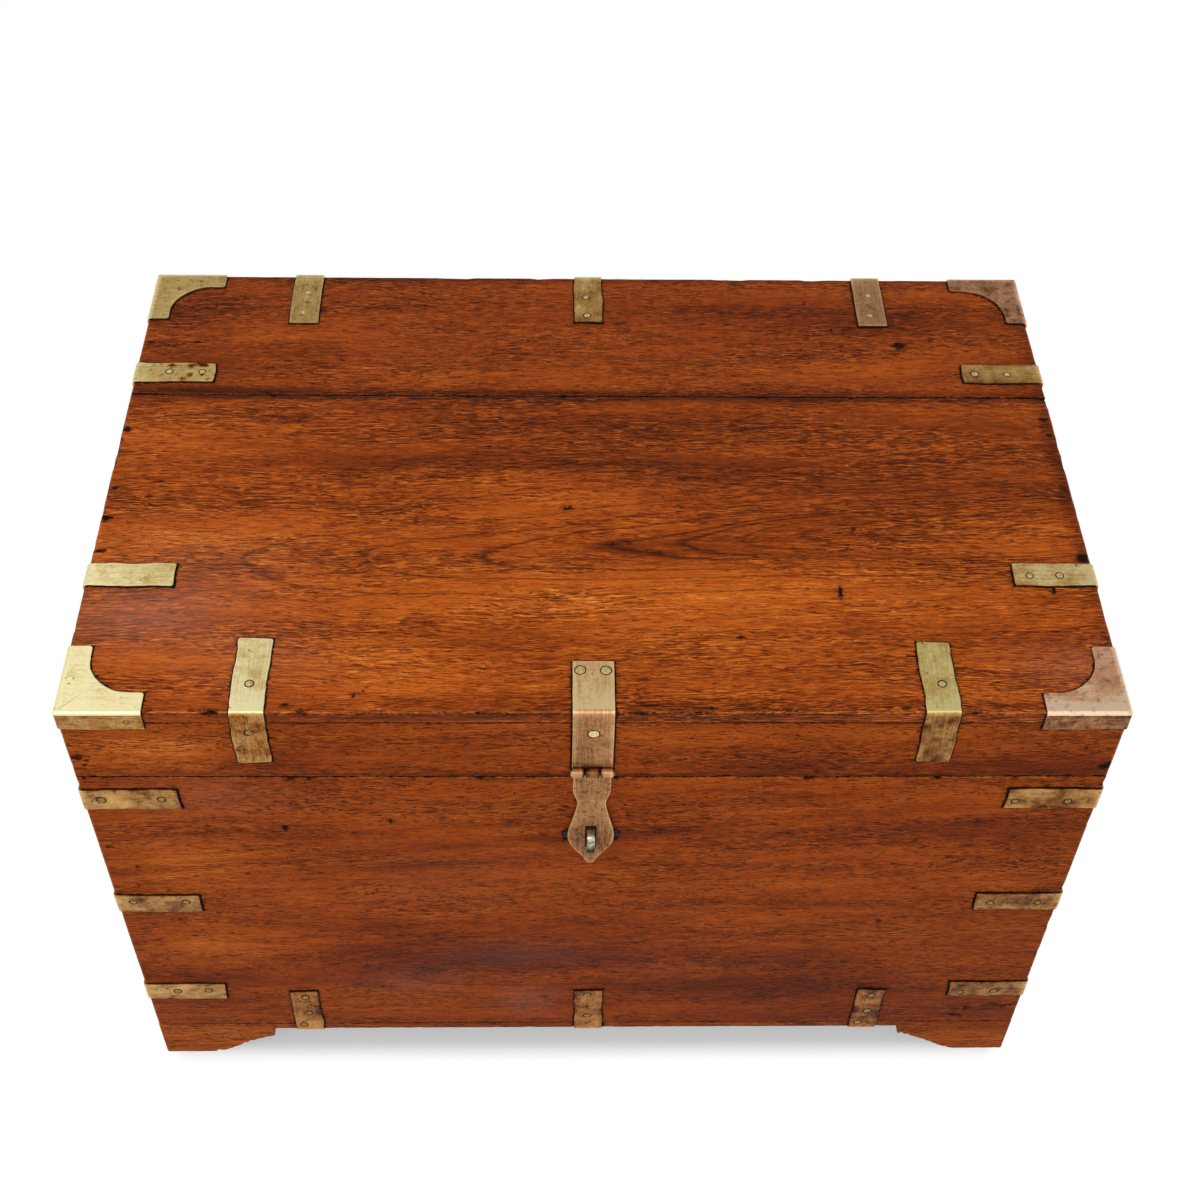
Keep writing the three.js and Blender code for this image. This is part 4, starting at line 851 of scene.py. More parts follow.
def makeSheet(node, body, edge, axes, line, lengths, w, keep, tone, tarnish, thickness, fold=-farAway):
    # A bent sheet: its first parameter is the length along a path in the (u, v) plane, its second
    # the place w across. keep says which cells of the grid are metal, from length and place.
    ones = np.ones_like(w)
    u, v = (column(np.interp(lengths, line[:, 3], line[:, k])) * ones for k in (0, 1))
    along = column(lengths) * ones
    points = sheetPlace(axes, edge, u, v, w).reshape(-1, 3)
    middleLength = column((lengths[1:] + lengths[:-1]) / 2) * ones[1:, 1:]
    middleAcross = (w[1:, 1:] + w[:-1, 1:] + w[1:, :-1] + w[:-1, :-1]) / 4
    kept = keep(middleLength, middleAcross).ravel()
    faces = faceOutwards(points, gridFaces(*w.shape)[kept], chest["centre"])
    used = np.unique(faces)
    renumber = np.zeros(len(points), int)
    renumber[used] = np.arange(len(used))
    edgeGap = np.minimum.reduce([w - w.min(1, keepdims=True), w.max(1, keepdims=True) - w,
                                 along - lengths[0], lengths[-1] - along])
    values = {"rim": np.exp(-edgeGap / sheetBrass["rimReach"]), "tarnish": tarnish(along, w) * ones,
              "fold": foldRubAndHighlight(along - fold, along < fold)}
    values = {key: value.ravel()[used] for key, value in values.items()}
    uv = np.stack([along.ravel(), w.ravel()], 1)[used]
    piece = makePiece(node + "_brass", points[used], renumber[faces], body, [tone], values, uv)
    finishSheet(piece, thickness, 0.3)
    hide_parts(node)


def evenWidths(lines, lengths, half, seed, wander=0.35):
    # columns across a sheet of even width, its two edges a little ragged
    w = np.repeat(np.asarray(lines, float)[None, :], len(lengths), 0)
    outside = np.abs(w) > half - 0.1
    return w + outside * (wander * ragged(lengths, 15, seed))[:, None]


hinge = {
    "at": {"left": -247.3, "right": 246.0}, "tones": {"left": "yellow", "right": "hasp"},
    "sheet": 1.6, "bore": 2.1, "onTop": 65.5, "leg": 64.0, "half": 12.4, "side": 0.4,
    "topTarnish": 0.55, "backTarnishAndShade": 0.7, "leafTarnishAndShade": 0.68, "strapKnuckle": 4.6, "leafKnuckle": 4.8,
    "columns": (-12.4, -11.9, -9, -6.5, -4.9, -4.5, -2, 0, 2, 4.5, 4.9, 6.5, 9, 11.9, 12.4),
}


def makeHinges():
    # the two hinges at the back: a strap on the lid and a leaf on the box, rolled round one pin,
    # the strap's knuckle in the middle and the leaf's two beside it
    middle = sheetBrass["bedding"] + hinge["sheet"] / 2
    roll = hinge["bore"] + hinge["sheet"] / 2
    room = hinge["bore"] + hinge["sheet"] + hinge["side"]
    drop = chest["top"] - chest["lidSeam"]
    top, leg = hinge["onTop"], hinge["leg"]
    axes = axesOf((0, -1, 0), (0, 0, -1))
    strapPath, straight = pathOver(top, drop, middle, roll)
    strapLengths = np.unique([*strapPath[:, 3], straight - room, 0.3, 0.9])
    leafPath = walkPath((-middle, drop + leg), -quarter, [(leg, 0, 0), (0, -rollTurn, roll)])
    leafLengths = np.unique([*leafPath[:, 3], leg - room, 0.3, 0.9])

    def strapMetal(along, w):
        # all of the straight sheet, and of the roll its middle knuckle
        return (along < straight - room) | (np.abs(w) < hinge["strapKnuckle"])

    def strapTarnishAndShade(along, w):
        # one value on top of the lid and a darker one down its back, partly painted shade
        return np.where(along < top, hinge["topTarnish"], hinge["backTarnishAndShade"])

    def leafMetal(along, w):
        # all of the straight sheet, and of the roll its two outer knuckles
        return (along < leg - room) | (np.abs(w) > hinge["leafKnuckle"])

    def leafTarnishAndShade(along, w):
        # even all over
        return hinge["leafTarnishAndShade"]

    for sideName, side in sideSigns.items():
        edge, tone = (hinge["at"][sideName], chest["back"], chest["top"]), hinge["tones"][sideName]
        makeSheet(f"hinge_strap_{sideName}", "lid", edge, axes, strapPath, strapLengths,
                  evenWidths(hinge["columns"], strapLengths, hinge["half"], 500 + side), strapMetal, tone,
                  strapTarnishAndShade, hinge["sheet"], top - 0.5)
        makeSheet(f"hinge_leaf_{sideName}", "box", edge, axes, leafPath, leafLengths,
                  evenWidths(hinge["columns"], leafLengths, hinge["half"], 510 + side), leafMetal, tone,
                  leafTarnishAndShade, hinge["sheet"])


makeHinges()

hasp = {
    "centre": -2.0, "sheet": 1.7, "leafSheet": 1.9, "bore": 1.9, "pinDrop": 66.0, "half": 15.0,
    "onTop": 46.0, "knuckle": 5.65, "leafKnuckle": 4.97, "side": 0.4, "leafLength": 118.0, "shoulder": 28.0,
    "slotHalf": 4.1, "slotFrom": 68.0, "slotTo": 96.0, "bulbHalf": 18.0, "joggle": math.radians(18),
    "joggleRadius": 6.0, "leafMiddle": 1.0, "plate": 1.5, "plateGap": 0.4,
}
# half width of the leaf as a share of the bulb's, by share of its length
leafShares = [
    (0.0, 0.78), (0.237, 0.78), (0.31, 0.57), (0.4, 0.65), (0.5, 0.78), (0.6, 0.93), (0.69, 1.0),
    (0.78, 0.9), (0.86, 0.62), (0.91, 0.39), (0.95, 0.25), (0.985, 0.17), (1.0, 0.05),
]


def leafHalf(drop):
    # half width of the leaf: the traced shares, rounded by averaging five places 1.6 mm apart
    shares = np.array(leafShares)
    shifts = np.array([-3.2, -1.6, 0, 1.6, 3.2]) * np.clip((hasp["leafLength"] - drop) / 6, 0, 1)[:, None]
    share = np.interp((drop[:, None] + shifts) / hasp["leafLength"], shares[:, 0], shares[:, 1])
    return hasp["bulbHalf"] * share.mean(1)


def makeHasp():
    # the hasp's strap, over the lid's front edge and round the pin in two knuckles, and its leaf,
    # whose own knuckle lies between them
    edge, axes = (hasp["centre"], chest["front"], chest["top"]), axesOf((0, 1, 0), (0, 0, -1))
    roll = hasp["bore"] + 1.0
    room = hasp["bore"] + 2.0 + hasp["side"]
    first, last = hasp["knuckle"] - 0.75, hasp["knuckle"] + 0.35
    columns = (-15, -14.5, -11, -8, -last, -first, -2.5, 0, 2.5, first, last, 8, 11, 14.5, 15)
    path, straight = pathOver(hasp["onTop"], hasp["pinDrop"], sheetBrass["bedding"] + hasp["sheet"] / 2, roll)
    foldAt = hasp["onTop"] - sheetBrass["foldRadius"]
    lengths = np.unique(np.concatenate([path[:, 3], [straight - room, 0.3, 0.9]]))

    def strapMetal(along, w):
        # all of the straight sheet, and of the roll its two outer knuckles
        return (along < straight - room) | (np.abs(w) > last - 0.1)

    def strapTarnishAndShade(along, w):
        # rubbed towards the edge on top, dull below it, and grimy beside the leaf's knuckle; the darker
        # values below and beside the knuckle are partly painted shade
        joint = 0.56 + 0.5 * np.exp(-(((np.abs(w) - last) / 0.6) ** 2))
        return np.where(along < foldAt, 0.25 - 0.003 * along, np.where(along < straight - room, 0.66, joint))

    makeSheet("hasp_strap", "lid", edge, axes, path, lengths,
              evenWidths(columns, lengths, hasp["half"], 520, 0.2), strapMetal, "hasp", strapTarnishAndShade,
              hasp["sheet"], foldAt + 1)

    # the leaf: up from its tip, in over the joggle, and round the pin
    nearWood = sheetBrass["bedding"] + hasp["leafMiddle"]
    clear = sheetBrass["bedding"] + hasp["plate"] + hasp["plateGap"] + hasp["leafMiddle"]
    bend, bendRadius, leaf = hasp["joggle"], hasp["joggleRadius"], hasp["leafLength"]
    slope = (clear - nearWood - 2 * bendRadius * (1 - math.cos(bend))) / math.sin(bend)
    sloped = 2 * bendRadius * math.sin(bend) + slope * math.cos(bend)
    path = walkPath((-clear, hasp["pinDrop"] + leaf), -quarter,
                    [(leaf - hasp["shoulder"] - sloped, 0, 0), (0, bend, bendRadius), (slope, 0, 0),
                     (0, -bend, bendRadius), (hasp["shoulder"], 0, 0), (0, -rollTurn, roll)], step=1.2)
    turnAt = path[-1, 3] - rollTurn * roll
    slotLow, slotHigh = leaf - hasp["slotTo"], leaf - hasp["slotFrom"]
    extra = [slotLow, slotHigh, turnAt - room, 0.25, 0.7]
    lengths = np.unique(np.round(np.concatenate([path[:, 3], extra]), 3))
    half = leafHalf(np.clip(leaf - lengths * leaf / turnAt, 0, None))
    slot = np.minimum(hasp["slotHalf"], 0.5 * half)
    shares = np.array([-1, -0.97, -0.8, -0.5, -0.085, 0.0])  # of the way out from the slot's side
    outer = -(slot[:, None] - shares * (half - slot)[:, None])
    core = slot[:, None] * np.array([-0.5, 0.0, 0.5])
    w = np.concatenate([outer, core, -outer[:, ::-1]], 1)

    def leafMetal(along, place):
        # all but the slot, and of the roll only the middle knuckle
        inSlot = (along > slotLow) & (along < slotHigh) & (np.abs(place) < hasp["slotHalf"] - 0.05)
        return ~inSlot & ~((along > turnAt - room) & (np.abs(place) > hasp["leafKnuckle"]))

    def leafTarnishAndShade(along, place):
        # more on the bulb, most in the joint under the strap's knuckles and on the leaf's own; the joint's
        # share is partly painted shade
        bulb = 0.63 + 0.20 * np.exp(-(((along - 32) / 20) ** 2)) + 0.07 * (along > 84)
        joint = 0.5 * np.exp(-(((along - turnAt + room) / 1.3) ** 2)) * (np.abs(place) > 4.5)
        knuckle = 0.14 + 0.4 * np.exp(-(((np.abs(place) - hasp["leafKnuckle"]) / 0.6) ** 2))
        return bulb + joint + knuckle * (along > turnAt - room + 1)

    makeSheet("hasp_leaf", "hasp", edge, axes, path, lengths, w, leafMetal, "hasp", leafTarnishAndShade,
              hasp["leafSheet"])


makeHasp()


def weld(points, faces):
    # merges points that share a place and drops faces that lose a side
    points, merged = mergeAlike(points)
    faces = merged[faces]
    lost = (faces == np.roll(faces, 1, 1)).sum(1)
    kept = faces[lost == 0].tolist() + [list(dict.fromkeys(face)) for face in faces[lost == 1].tolist()]
    return points, [face for face in kept if len(face) > 2]


def makeRod(node, suffix, body, edge, axes, line, ring, size, finish, grime=None):
    # A bar along a path: each ring is (across the path, sideways) in the plane square to it, and
    # both ends close on their middles, as a quarter circle.
    count = len(line)
    ends = np.array([0.0, 0.6, 0.86, 1.0])
    order = np.concatenate([np.zeros(3, int), np.arange(count), np.full(3, count - 1)])
    shrink = np.concatenate([ends[:3], np.ones(count), ends[2::-1]])
    push = np.concatenate([-np.sqrt(1 - ends[:3] ** 2), np.zeros(count), np.sqrt(1 - ends[2::-1] ** 2)])
    u, v, heading = line[order, 0], line[order, 1], line[order, 2]
    size = (size * np.ones(count))[order] * shrink
    reach = push * ring[:, 0].max() * 0.6
    across = column(size) * ring[:, 0]
    uu = column(u + np.cos(heading) * reach) - column(np.sin(heading)) * across
    vv = column(v + np.sin(heading) * reach) + column(np.cos(heading)) * across
    places = sheetPlace(axes, edge, uu, vv, column(size) * ring[:, 1])
    faces = gridFaces(len(order), len(ring), closed=True)
    points = places.reshape(-1, 3)
    faces = faceOutwards(points, faces, places.mean(1)[faces[:, 0] // len(ring)])
    points, faces = weld(points, faces)
    none = np.zeros(len(points))
    values = {"tarnish": none + 0.42, "rim": none, "fold": none, "collar": grime(points) if grime else none}
    piece = makePiece(f"{node}_{suffix}", points, faces, body, [finish], values, points[:, [1, 2]],
                      sharp=50)
    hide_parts(node)


staple = {"bar": 2.6, "width": 6.2, "height": 22.0, "reach": 14.0, "clench": 12.0, "eyeRadius": 2.0,
          "rounding": 0.5, "clenchRadius": 0.6, "centreZ": 349.99}


def makeStaple():
    # a flat bar, bent to a loop in front of the wall, with both legs clenched inside it
    half, bar, rounding = staple["width"] / 2, staple["bar"], staple["rounding"]
    turn = np.radians(np.arange(0, 360, 22.5) + 11.25)
    ring = np.stack([np.sign(np.cos(turn)) * (bar / 2 - rounding) + rounding * np.cos(turn),
                     np.sign(np.sin(turn)) * (half - rounding) + rounding * np.sin(turn)], 1)
    inside = chest["wall"] + chest["gap"] + bar / 2
    legs = (staple["height"] - bar) / 2
    clenchBend, eyeBend = staple["clenchRadius"] + bar / 2, staple["eyeRadius"] + bar / 2
    run = inside + (staple["reach"] - bar / 2) - clenchBend - eyeBend
    end = staple["clench"] - clenchBend
    steps = [(end, 0, 0), (0, quarter, clenchBend), (run, 0, 0), (0, -quarter, eyeBend),
             (2 * (legs - eyeBend), 0, 0), (0, -quarter, eyeBend), (run, 0, 0), (0, quarter, clenchBend),
             (end, 0, 0)]
    line = walkPath((inside, -legs - staple["clench"]), quarter, steps, step=3.0)

    def paintedShadeOn(place):
        # painted shade: from none at the top of the loop to nearly all at its foot
        return np.clip((staple["centreZ"] + 3 - place[:, 2]) / 7, 0, 0.93)

    makeRod("staple", "steel", "box", (hasp["centre"], chest["front"], staple["centreZ"]),
            axesOf((0, 1, 0), (0, 0, -1)), line, ring, 1.0, "steel", paintedShadeOn)


makeStaple()

bail = {"pivotReach": 11.7, "height": 300.0, "arm": 50.0, "shoulder": 8.0, "drop": 48.0, "corner": 16.0,
        "radius": 4.0, "swell": 1.4, "tip": 29.9}


def makeBails():
    # the two drop handles: a round bar bent five ways, thicker in the grip by
    # swell * cos(share of the way from its middle * 90 degrees) ** 2
    shoulder, corner = bail["shoulder"], bail["corner"]
    half = bail["arm"] - corner
    side = bail["arm"] - shoulder - bail["tip"]
    arm = bail["drop"] - shoulder - corner
    steps = [(side, 0, 0), (0, quarter, shoulder), (arm, 0, 0), (0, quarter, corner), (2 * half, 0, 0),
             (0, quarter, corner), (arm, 0, 0), (0, quarter, shoulder), (side, 0, 0)]
    line = walkPath((-bail["tip"], 0.0), math.pi, steps, step=2.5)
    fromMiddle = np.clip(np.abs(line[:, 3] - line[-1, 3] / 2) / half, 0, 1)
    swell = 1 + bail["swell"] / bail["radius"] * np.cos(fromMiddle * quarter) ** 2
    turn = np.radians(np.arange(0, 360, 15))
    ring = bail["radius"] * np.stack([np.cos(turn), np.sin(turn)], 1)
    for sideName, side in sideSigns.items():
        pivot = (side * (chest["halfWidth"] + bail["pivotReach"]), chest["middleY"], bail["height"])
        makeRod(f"bail_{sideName}", "brass", f"bail_{sideName}", pivot, axesOf((0, 1, 0), (0, 0, 1)), line,
                ring, swell, "aged")


makeBails()

# values of the attributes on the CAD's own shapes, and the least area of a large face in m2
cadValues = {"tarnish": 0.45, "rim": 0.0, "fold": 0.0, "collar": 0.0}
largeFace = 2e-5


def dressNode(node, finish, bevel, inner=None):
    # The CAD shape with its arrises eased, in its own finish. The inner finish is for its large
    # faces: those of a pin are grimy between its two heads.
    source = frame["nodes"][node]
    mesh = source.data.copy()
    mesh.materials.clear()
    shape = bmesh.new()
    shape.from_mesh(mesh)
    bmesh.ops.remove_doubles(shape, verts=shape.verts, dist=1e-6)
    bmesh.ops.dissolve_limit(shape, angle_limit=math.radians(1), verts=shape.verts, edges=shape.edges)
    shape.to_mesh(mesh)
    shape.free()
    mesh.materials.append(finishes[finish])
    if inner:
        mesh.materials.append(finishes[inner])
        areas = np.empty(len(mesh.polygons), np.float32)
        mesh.polygons.foreach_get("area", areas)
        mesh.polygons.foreach_set("material_index", (areas > largeFace).astype(np.int32))
    count = len(mesh.vertices)
    setValues(mesh, {key: np.full(count, value) for key, value in cadValues.items()})
    place = np.empty(count * 3, np.float32)
    mesh.vertices.foreach_get("co", place)
    layer = mesh.uv_layers.get("UVMap") or mesh.uv_layers.new(name="UVMap")
    layer.data.foreach_set("uv", place.reshape(-1, 3)[loopVertices(mesh)][:, [1, 2]].ravel())
    piece = placePiece(node + "_dressed", mesh, 35)
    if bevel:
        easeEdges(piece, "eased", bevel, 40)
    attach(piece, source["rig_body"])
    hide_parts(node)


for sideName in sideSigns:
    dressNode(f"handle_plate_{sideName}", "aged", 0.5)
    dressNode(f"hinge_pin_{sideName}", "aged", 0)
dressNode("hasp_pin", "steel", 0, "iron")
dressNode("staple_plate", "iron", 0.3)
print("hinges, hasp, staple and handles made")

# Nails: rings from the middle of a head out to its collar of dirt, as shares of its radius, and the
# height of each
nail = {
    "rings": (0.0, 0.45, 0.8, 0.93, 1.0, 1.32), "heights": (0.28, 0.24, 0.16, 0.09, 0.03, 0.015),
    "collar": (0, 0, 0, 0, 1.0, 1.0), "outOfRound": 0.08, "hasp": 1.88, "hinge": 1.76, "plate": 2.68,
    "sheet": sheetBrass["bedding"] + sheetBrass["thickness"] - 0.04,
}
platePlaces = ((-50, 282.5), (-50, 311.5), (-18, 282.5), (24.4, 282.5), (56.4, 282.5), (56.4, 311.5))
# nails that are in no strap: group, face, what they are driven through, radius, and places on the face
otherNails = [
    ("lidTop", "top", "hasp", 3.7, ((-11.4, -205.3), (7.2, -205.7))),
    ("lidTop", "front", "hasp", 4.0, ((-1.6, 475.6),)),
    ("lidSide", "front", "sheet", 2.3, ((-331.3, 489.0), (328.4, 489.6), (361.0, 489.9))),
    ("lidSide", "left", "sheet", 2.1, ((216, 489.5), (185, 489.5))),
    ("lidSide", "right", "sheet", 2.1, ((218, 489.5), (186, 489.5))),
    ("lidTop", "top", "hinge", 2.3, ((-246.8, 224.4), (-248.3, 197.0), (246.5, 224.4), (245.0, 197.0))),
    ("lidSide", "back", "hinge", 2.3, ((-247.3, 470), (-247.3, 446), (246, 470), (246, 446))),
    ("box", "back", "hinge", 2.3,
     ((-247.3, 402), (-247.3, 385), (-247.3, 366), (246, 402), (246, 385), (246, 366))),
    ("box", "left", "plate", 2.4, platePlaces), ("box", "right", "plate", 2.4, platePlaces),
]


def listNails():
    # the heads of each group, as (place, outward, sideways, radius)
    heads = {"box": [], "lidTop": [], "lidSide": []}
    for strap in straps:
        axisU, axisV, axisW = strap["axes"]
        for along, across in strap["nails"]:
            if along > 0:
                place, outward = strap["edge"] + axisU * along - axisV * nail["sheet"], -axisV
            else:
                place, outward = strap["edge"] - axisV * along - axisU * nail["sheet"], -axisU
            draw = np.random.default_rng(strap["seed"] + int(along)).random()
            group = "box" if strap["body"] == "box" else "lidTop" if outward[2] > 0.5 else "lidSide"
            heads[group].append((place + axisW * across, outward, axisW,
                                 sheetBrass["nailRadius"] * (0.9 + 0.25 * draw)))
    half = chest["halfWidth"]
    for group, face, brass, radius, places in otherNails:
        rise = nail[brass]
        for a, b in places:
            heads[group].append({
                "top": ((a, b, chest["top"] + rise), (0, 0, 1), (1, 0, 0), radius),
                "front": ((a, chest["front"] - rise, b), (0, -1, 0), (1, 0, 0), radius),
                "back": ((a, chest["back"] + rise, b), (0, 1, 0), (1, 0, 0), radius),
                "left": ((-half - rise, a, b), (-1, 0, 0), (0, 1, 0), radius),
                "right": ((half + rise, a, b), (1, 0, 0), (0, 1, 0), radius)}[face])
    return heads


def makeNails(name, body, heads, finish):
    # One dome and its collar of dirt for each nail: radius and height are functions of the ring,
    # and the outline is a little out of round. Each head is (place, outward, sideways, radius).
    turn = np.radians(np.arange(0, 360, 22.5))
    rings, heights, collar = (np.array(nail[key]) for key in ("rings", "heights", "collar"))
    place, outward, sideways = (np.array([head[k] for head in heads], float) for k in range(3))
    radius = np.array([head[3] for head in heads])
    rough = 1 + nail["outOfRound"] * (np.random.default_rng(7).random((len(heads), len(turn))) - 0.5)
    spread = radius[:, None, None] * rings[None, :, None] * rough[:, None, :]
    across = np.cos(turn)[None, :, None] * sideways[:, None, :]
    across = across + np.sin(turn)[None, :, None] * np.cross(outward, sideways)[:, None, :]
    points = place[:, None, None, :] + spread[..., None] * across[:, None]
    points = (points + heights[None, :, None, None] * outward[:, None, None, :]).reshape(-1, 3)
    count = len(rings) * len(turn)
    faces = np.concatenate([gridFaces(len(rings), len(turn), k * count, closed=True)
                            for k in range(len(heads))])
    faces = faceOutwards(points, faces, (place - outward)[faces[:, 0] // count])
    dirty = np.broadcast_to(collar[None, :, None], spread.shape).ravel()
    piece = makePiece(name, points, faces, body, [finish], {"collar": dirty}, sharp=80)


heads = listNails()
makeNails("box_nails", "box", heads["box"], "dullNail")
makeNails("lid_nails_top", "lid", heads["lidTop"], "nail")
makeNails("lid_nails_side", "lid", heads["lidSide"], "dullNail")
print("nails made:", sum(len(group) for group in heads.values()))

# Boards: worn blocks, with closer lines beside the brass, where dirt has packed and painted shade lies
board = {
    "step": 7.0, "reach": 1.7, "wear": 0.36, "chip": 1.3, "leastStep": 0.35,
    "easeLines": (0.35, 0.7, 1.0, 1.7, 2.8), "closeLines": (-2.4, -1.1, -0.3, 0.4, 1.1, 2.0, 3.4, 6.0),
    "bracketLines": (22, 27, 32, 38, 44, 50), "onFace": 2.6,
}
# All that follows is (x, and y on the top or z on the front, half length, half width, strength).
# patches are broad places, dark or, below zero, pale; after them come pale milky patches: painted
# sheen where the wax gleams, and old wax gone milky
patches = {
    "top": [
        (20, 60, 230, 28, 0.21), (-150, 12, 190, 9, 0.19), (80, 0, 160, 24, 0.15), (250, -20, 130, 50, 0.1),
        (330, 40, 80, 40, 0.09), (0, 92, 900, 5, 0.29), (-320, 98, 110, 6, 0.30), (-60, 96, 60, 4, 0.16),
        (200, 88, 90, 4, 0.14), (24, -86, 26, 13, 0.13), (90, -84, 50, 12, 0.07), (170, -60, 60, 14, 0.1),
        (-60, -178, 60, 17, 0.16), (200, -166, 90, 10, 0.11), (320, -170, 50, 12, 0.12),
        (-330, 130, 60, 10, 0.1), (-350, 205, 60, 26, 0.1), (150, 205, 120, 28, 0.09),
        (270, 180, 70, 26, 0.09), (-340, 40, 50, 24, -0.11), (-300, -60, 90, 38, -0.09),
        (-130, -210, 70, 20, -0.11), (70, -140, 200, 28, -0.16), (330, -75, 50, 16, -0.14),
        (-120, 120, 150, 14, -0.09), (250, 125, 80, 12, -0.07), (-250, 170, 70, 14, -0.09),
        (-30, -20, 60, 17, -0.11), (0, -236, 500, 5, 0.1), (378, 0, 8, 240, 0.19), (0, 246, 500, 4, 0.19)],
    "front": [
        (-60, 165, 130, 22, 0.21), (130, 115, 110, 20, 0.21), (190, 165, 60, 24, 0.12),
        (60, 355, 35, 12, 0.2), (-10, 345, 40, 24, 0.15), (-170, 140, 60, 30, 0.09),
        (-120, 320, 50, 38, 0.07), (300, 350, 60, 18, 0.12), (340, 70, 40, 14, 0.09),
        (-300, 128, 90, 11, 0.09), (-170, 215, 30, 12, 0.1), (250, 62, 140, 14, 0.1),
        (-310, 310, 60, 38, -0.21), (-310, 190, 70, 38, -0.21), (-150, 370, 60, 24, -0.08),
        (-60, 380, 50, 14, -0.08), (280, 395, 60, 13, -0.09), (-20, 300, 60, 20, -0.07),
        (230, 205, 50, 28, -0.07), (100, 235, 80, 24, -0.05), (-200, 80, 120, 18, -0.07),
        (60, 75, 60, 12, -0.07), (-320, 455, 60, 18, -0.33), (-240, 440, 40, 15, 0.16),
        (60, 465, 60, 12, -0.08), (130, 433, 60, 8, 0.2), (320, 433, 90, 8, 0.16), (-50, 425, 60, 5, 0.16),
        (240, 355, 110, 40, 0.07), (0, 225, 90, 30, 0.05), (-110, 460, 60, 20, 0.05),
        (-330, 30, 90, 24, -0.15), (330, 30, 90, 24, -0.05), (200, 488, 120, 5, 0.13),
        # the long band at 493, just under the lid's front top arris, is painted shade below that arris
        (-150, 492, 120, 5, 0.13), (0, 493, 500, 3.5, 0.15), (0, 57, 500, 4, 0.09), (0, 424, 500, 2, 0.17)],
}
bloom = {
    "top": [(-335, -152, 55, 26, 0.15), (-300, -110, 70, 40, 0.06), (-250, -190, 60, 30, 0.05),
            (350, -200, 40, 20, 0.07)],
    "front": [(-55, 92, 26, 24, 0.09), (-150, 128, 40, 22, 0.06), (-60, 168, 60, 20, 0.06),
              (-290, 400, 60, 24, 0.05), (-120, 290, 60, 40, 0.02), (60, 140, 60, 20, 0.02)],
}
# dents, knots and nail holes, and beside the hasp's leaf two dark spots of dirt with painted shadow
marks = {
    "top": [
        (265.6, 159.4, 5.8, 3.4, 1), (188.7, 214.7, 1.6, 2.2, 0.8), (209.7, 177.4, 1, 4.5, 0.7),
        (-77.8, 61.7, 1.7, 1.7, 0.7), (-83.4, 30.5, 1.7, 1.5, 0.7), (-19.8, -39.8, 4.6, 2, 0.95),
        (-334.9, 159, 3, 1.3, 0.8), (-374.2, 158, 3.2, 1.4, 0.8), (-376.9, 49.7, 4, 3, 0.8),
        (-340.6, -10.5, 2.2, 1, 0.7), (-375.8, -18.3, 3, 2.2, 0.8), (-376.5, -51, 4.6, 3.2, 0.9),
        (-375.1, -86.5, 4.6, 2, 0.8), (-172.6, -228, 1.8, 1.6, 0.8), (-166.1, -223.6, 1.6, 1.5, 0.8),
        (107.1, -172.5, 2.4, 1.8, 0.8), (160.4, -124, 1.6, 1.6, 0.7), (184.9, -127.2, 2.3, 6, 0.9),
        (201.6, -60.7, 1.6, 2.6, 0.6), (194.9, -83.3, 4, 1.2, 0.7), (229.7, -190.7, 3.4, 1.6, 0.7),
        (347, -125.1, 1.8, 4.2, 0.8), (-274.4, -85, 2.2, 1.4, 0.6), (374, 66, 3.5, 3, 0.8),
        (375.5, 46, 3, 2.2, 0.75), (374, -13, 2, 1.5, 0.6), (376, -92, 5, 5, 0.9),
        (82, -238.5, 5, 1.8, 0.62), (138, -240, 4, 1.6, 0.65), (220, -238.5, 4, 2.2, 0.66),
        (-220, -236.5, 4.5, 2, 0.62), (-208, -241, 5, 1.4, 0.7), (-285, -240.5, 3, 1.6, 0.62)],
    "front": [
        (-235.4, 355.6, 2.4, 3.2, 0.9), (-154.4, 364.5, 2, 3.4, 0.9), (-175.9, 264.6, 2, 1.2, 0.7),
        (-177.6, 115.8, 1.6, 1.8, 0.7), (-373.2, 330.3, 3.2, 1.4, 0.8), (-356.1, 304, 1.6, 1.6, 0.7),
        (-294.1, 359.7, 1.6, 1.6, 0.7), (-270.8, 293.8, 3.4, 1.5, 0.7), (179.8, 288.8, 2, 2, 0.6),
        (154.1, 230.3, 2.2, 1.8, 0.6), (237.4, 220.6, 2, 1.6, 0.7), (240.5, 175.3, 3, 1.4, 0.7),
        (327, 63, 7, 2, 0.7), (335, 76, 3, 5, 0.5), (367, 80, 13, 1.6, 0.8),
        (-375, 446.3, 3.6, 3, 0.85), (-369, 442, 2, 1.6, 0.8), (-372, 437, 2.2, 1.8, 0.8),
        # the spots at -21.5 and 17.5, beside the hasp's leaf, are dirt with painted shadow from the leaf
        (357.7, 455.9, 1.4, 3, 0.6), (376.5, 434.6, 4.2, 3.6, 0.9), (-21.5, 345, 3.2, 5.5, 0.9),
        (17.5, 346, 2.8, 5, 0.9), (-22, 384, 2.4, 1.4, 0.7), (-14, 392, 2, 1.6, 0.7),
        (26, 372, 2.2, 1.4, 0.7), (24, 386, 1.8, 1.6, 0.6), (68, 386, 2, 1.4, 0.7)],
}
# what the hasp's strap and the hinges cover: the face, and two corners of a rectangle on it
plates = [
    ("top", (-17.2, -246.0), (13.2, -196.8)), ("front", (-17.2, 428.0), (13.2, 500.0)),
    ("top", (-259.7, 183.7), (-234.9, 252.0)), ("back", (-259.7, 358.0), (-234.9, 500.0)),
    ("top", (233.6, 183.7), (258.4, 252.0)), ("back", (233.6, 358.0), (258.4, 500.0)),
]


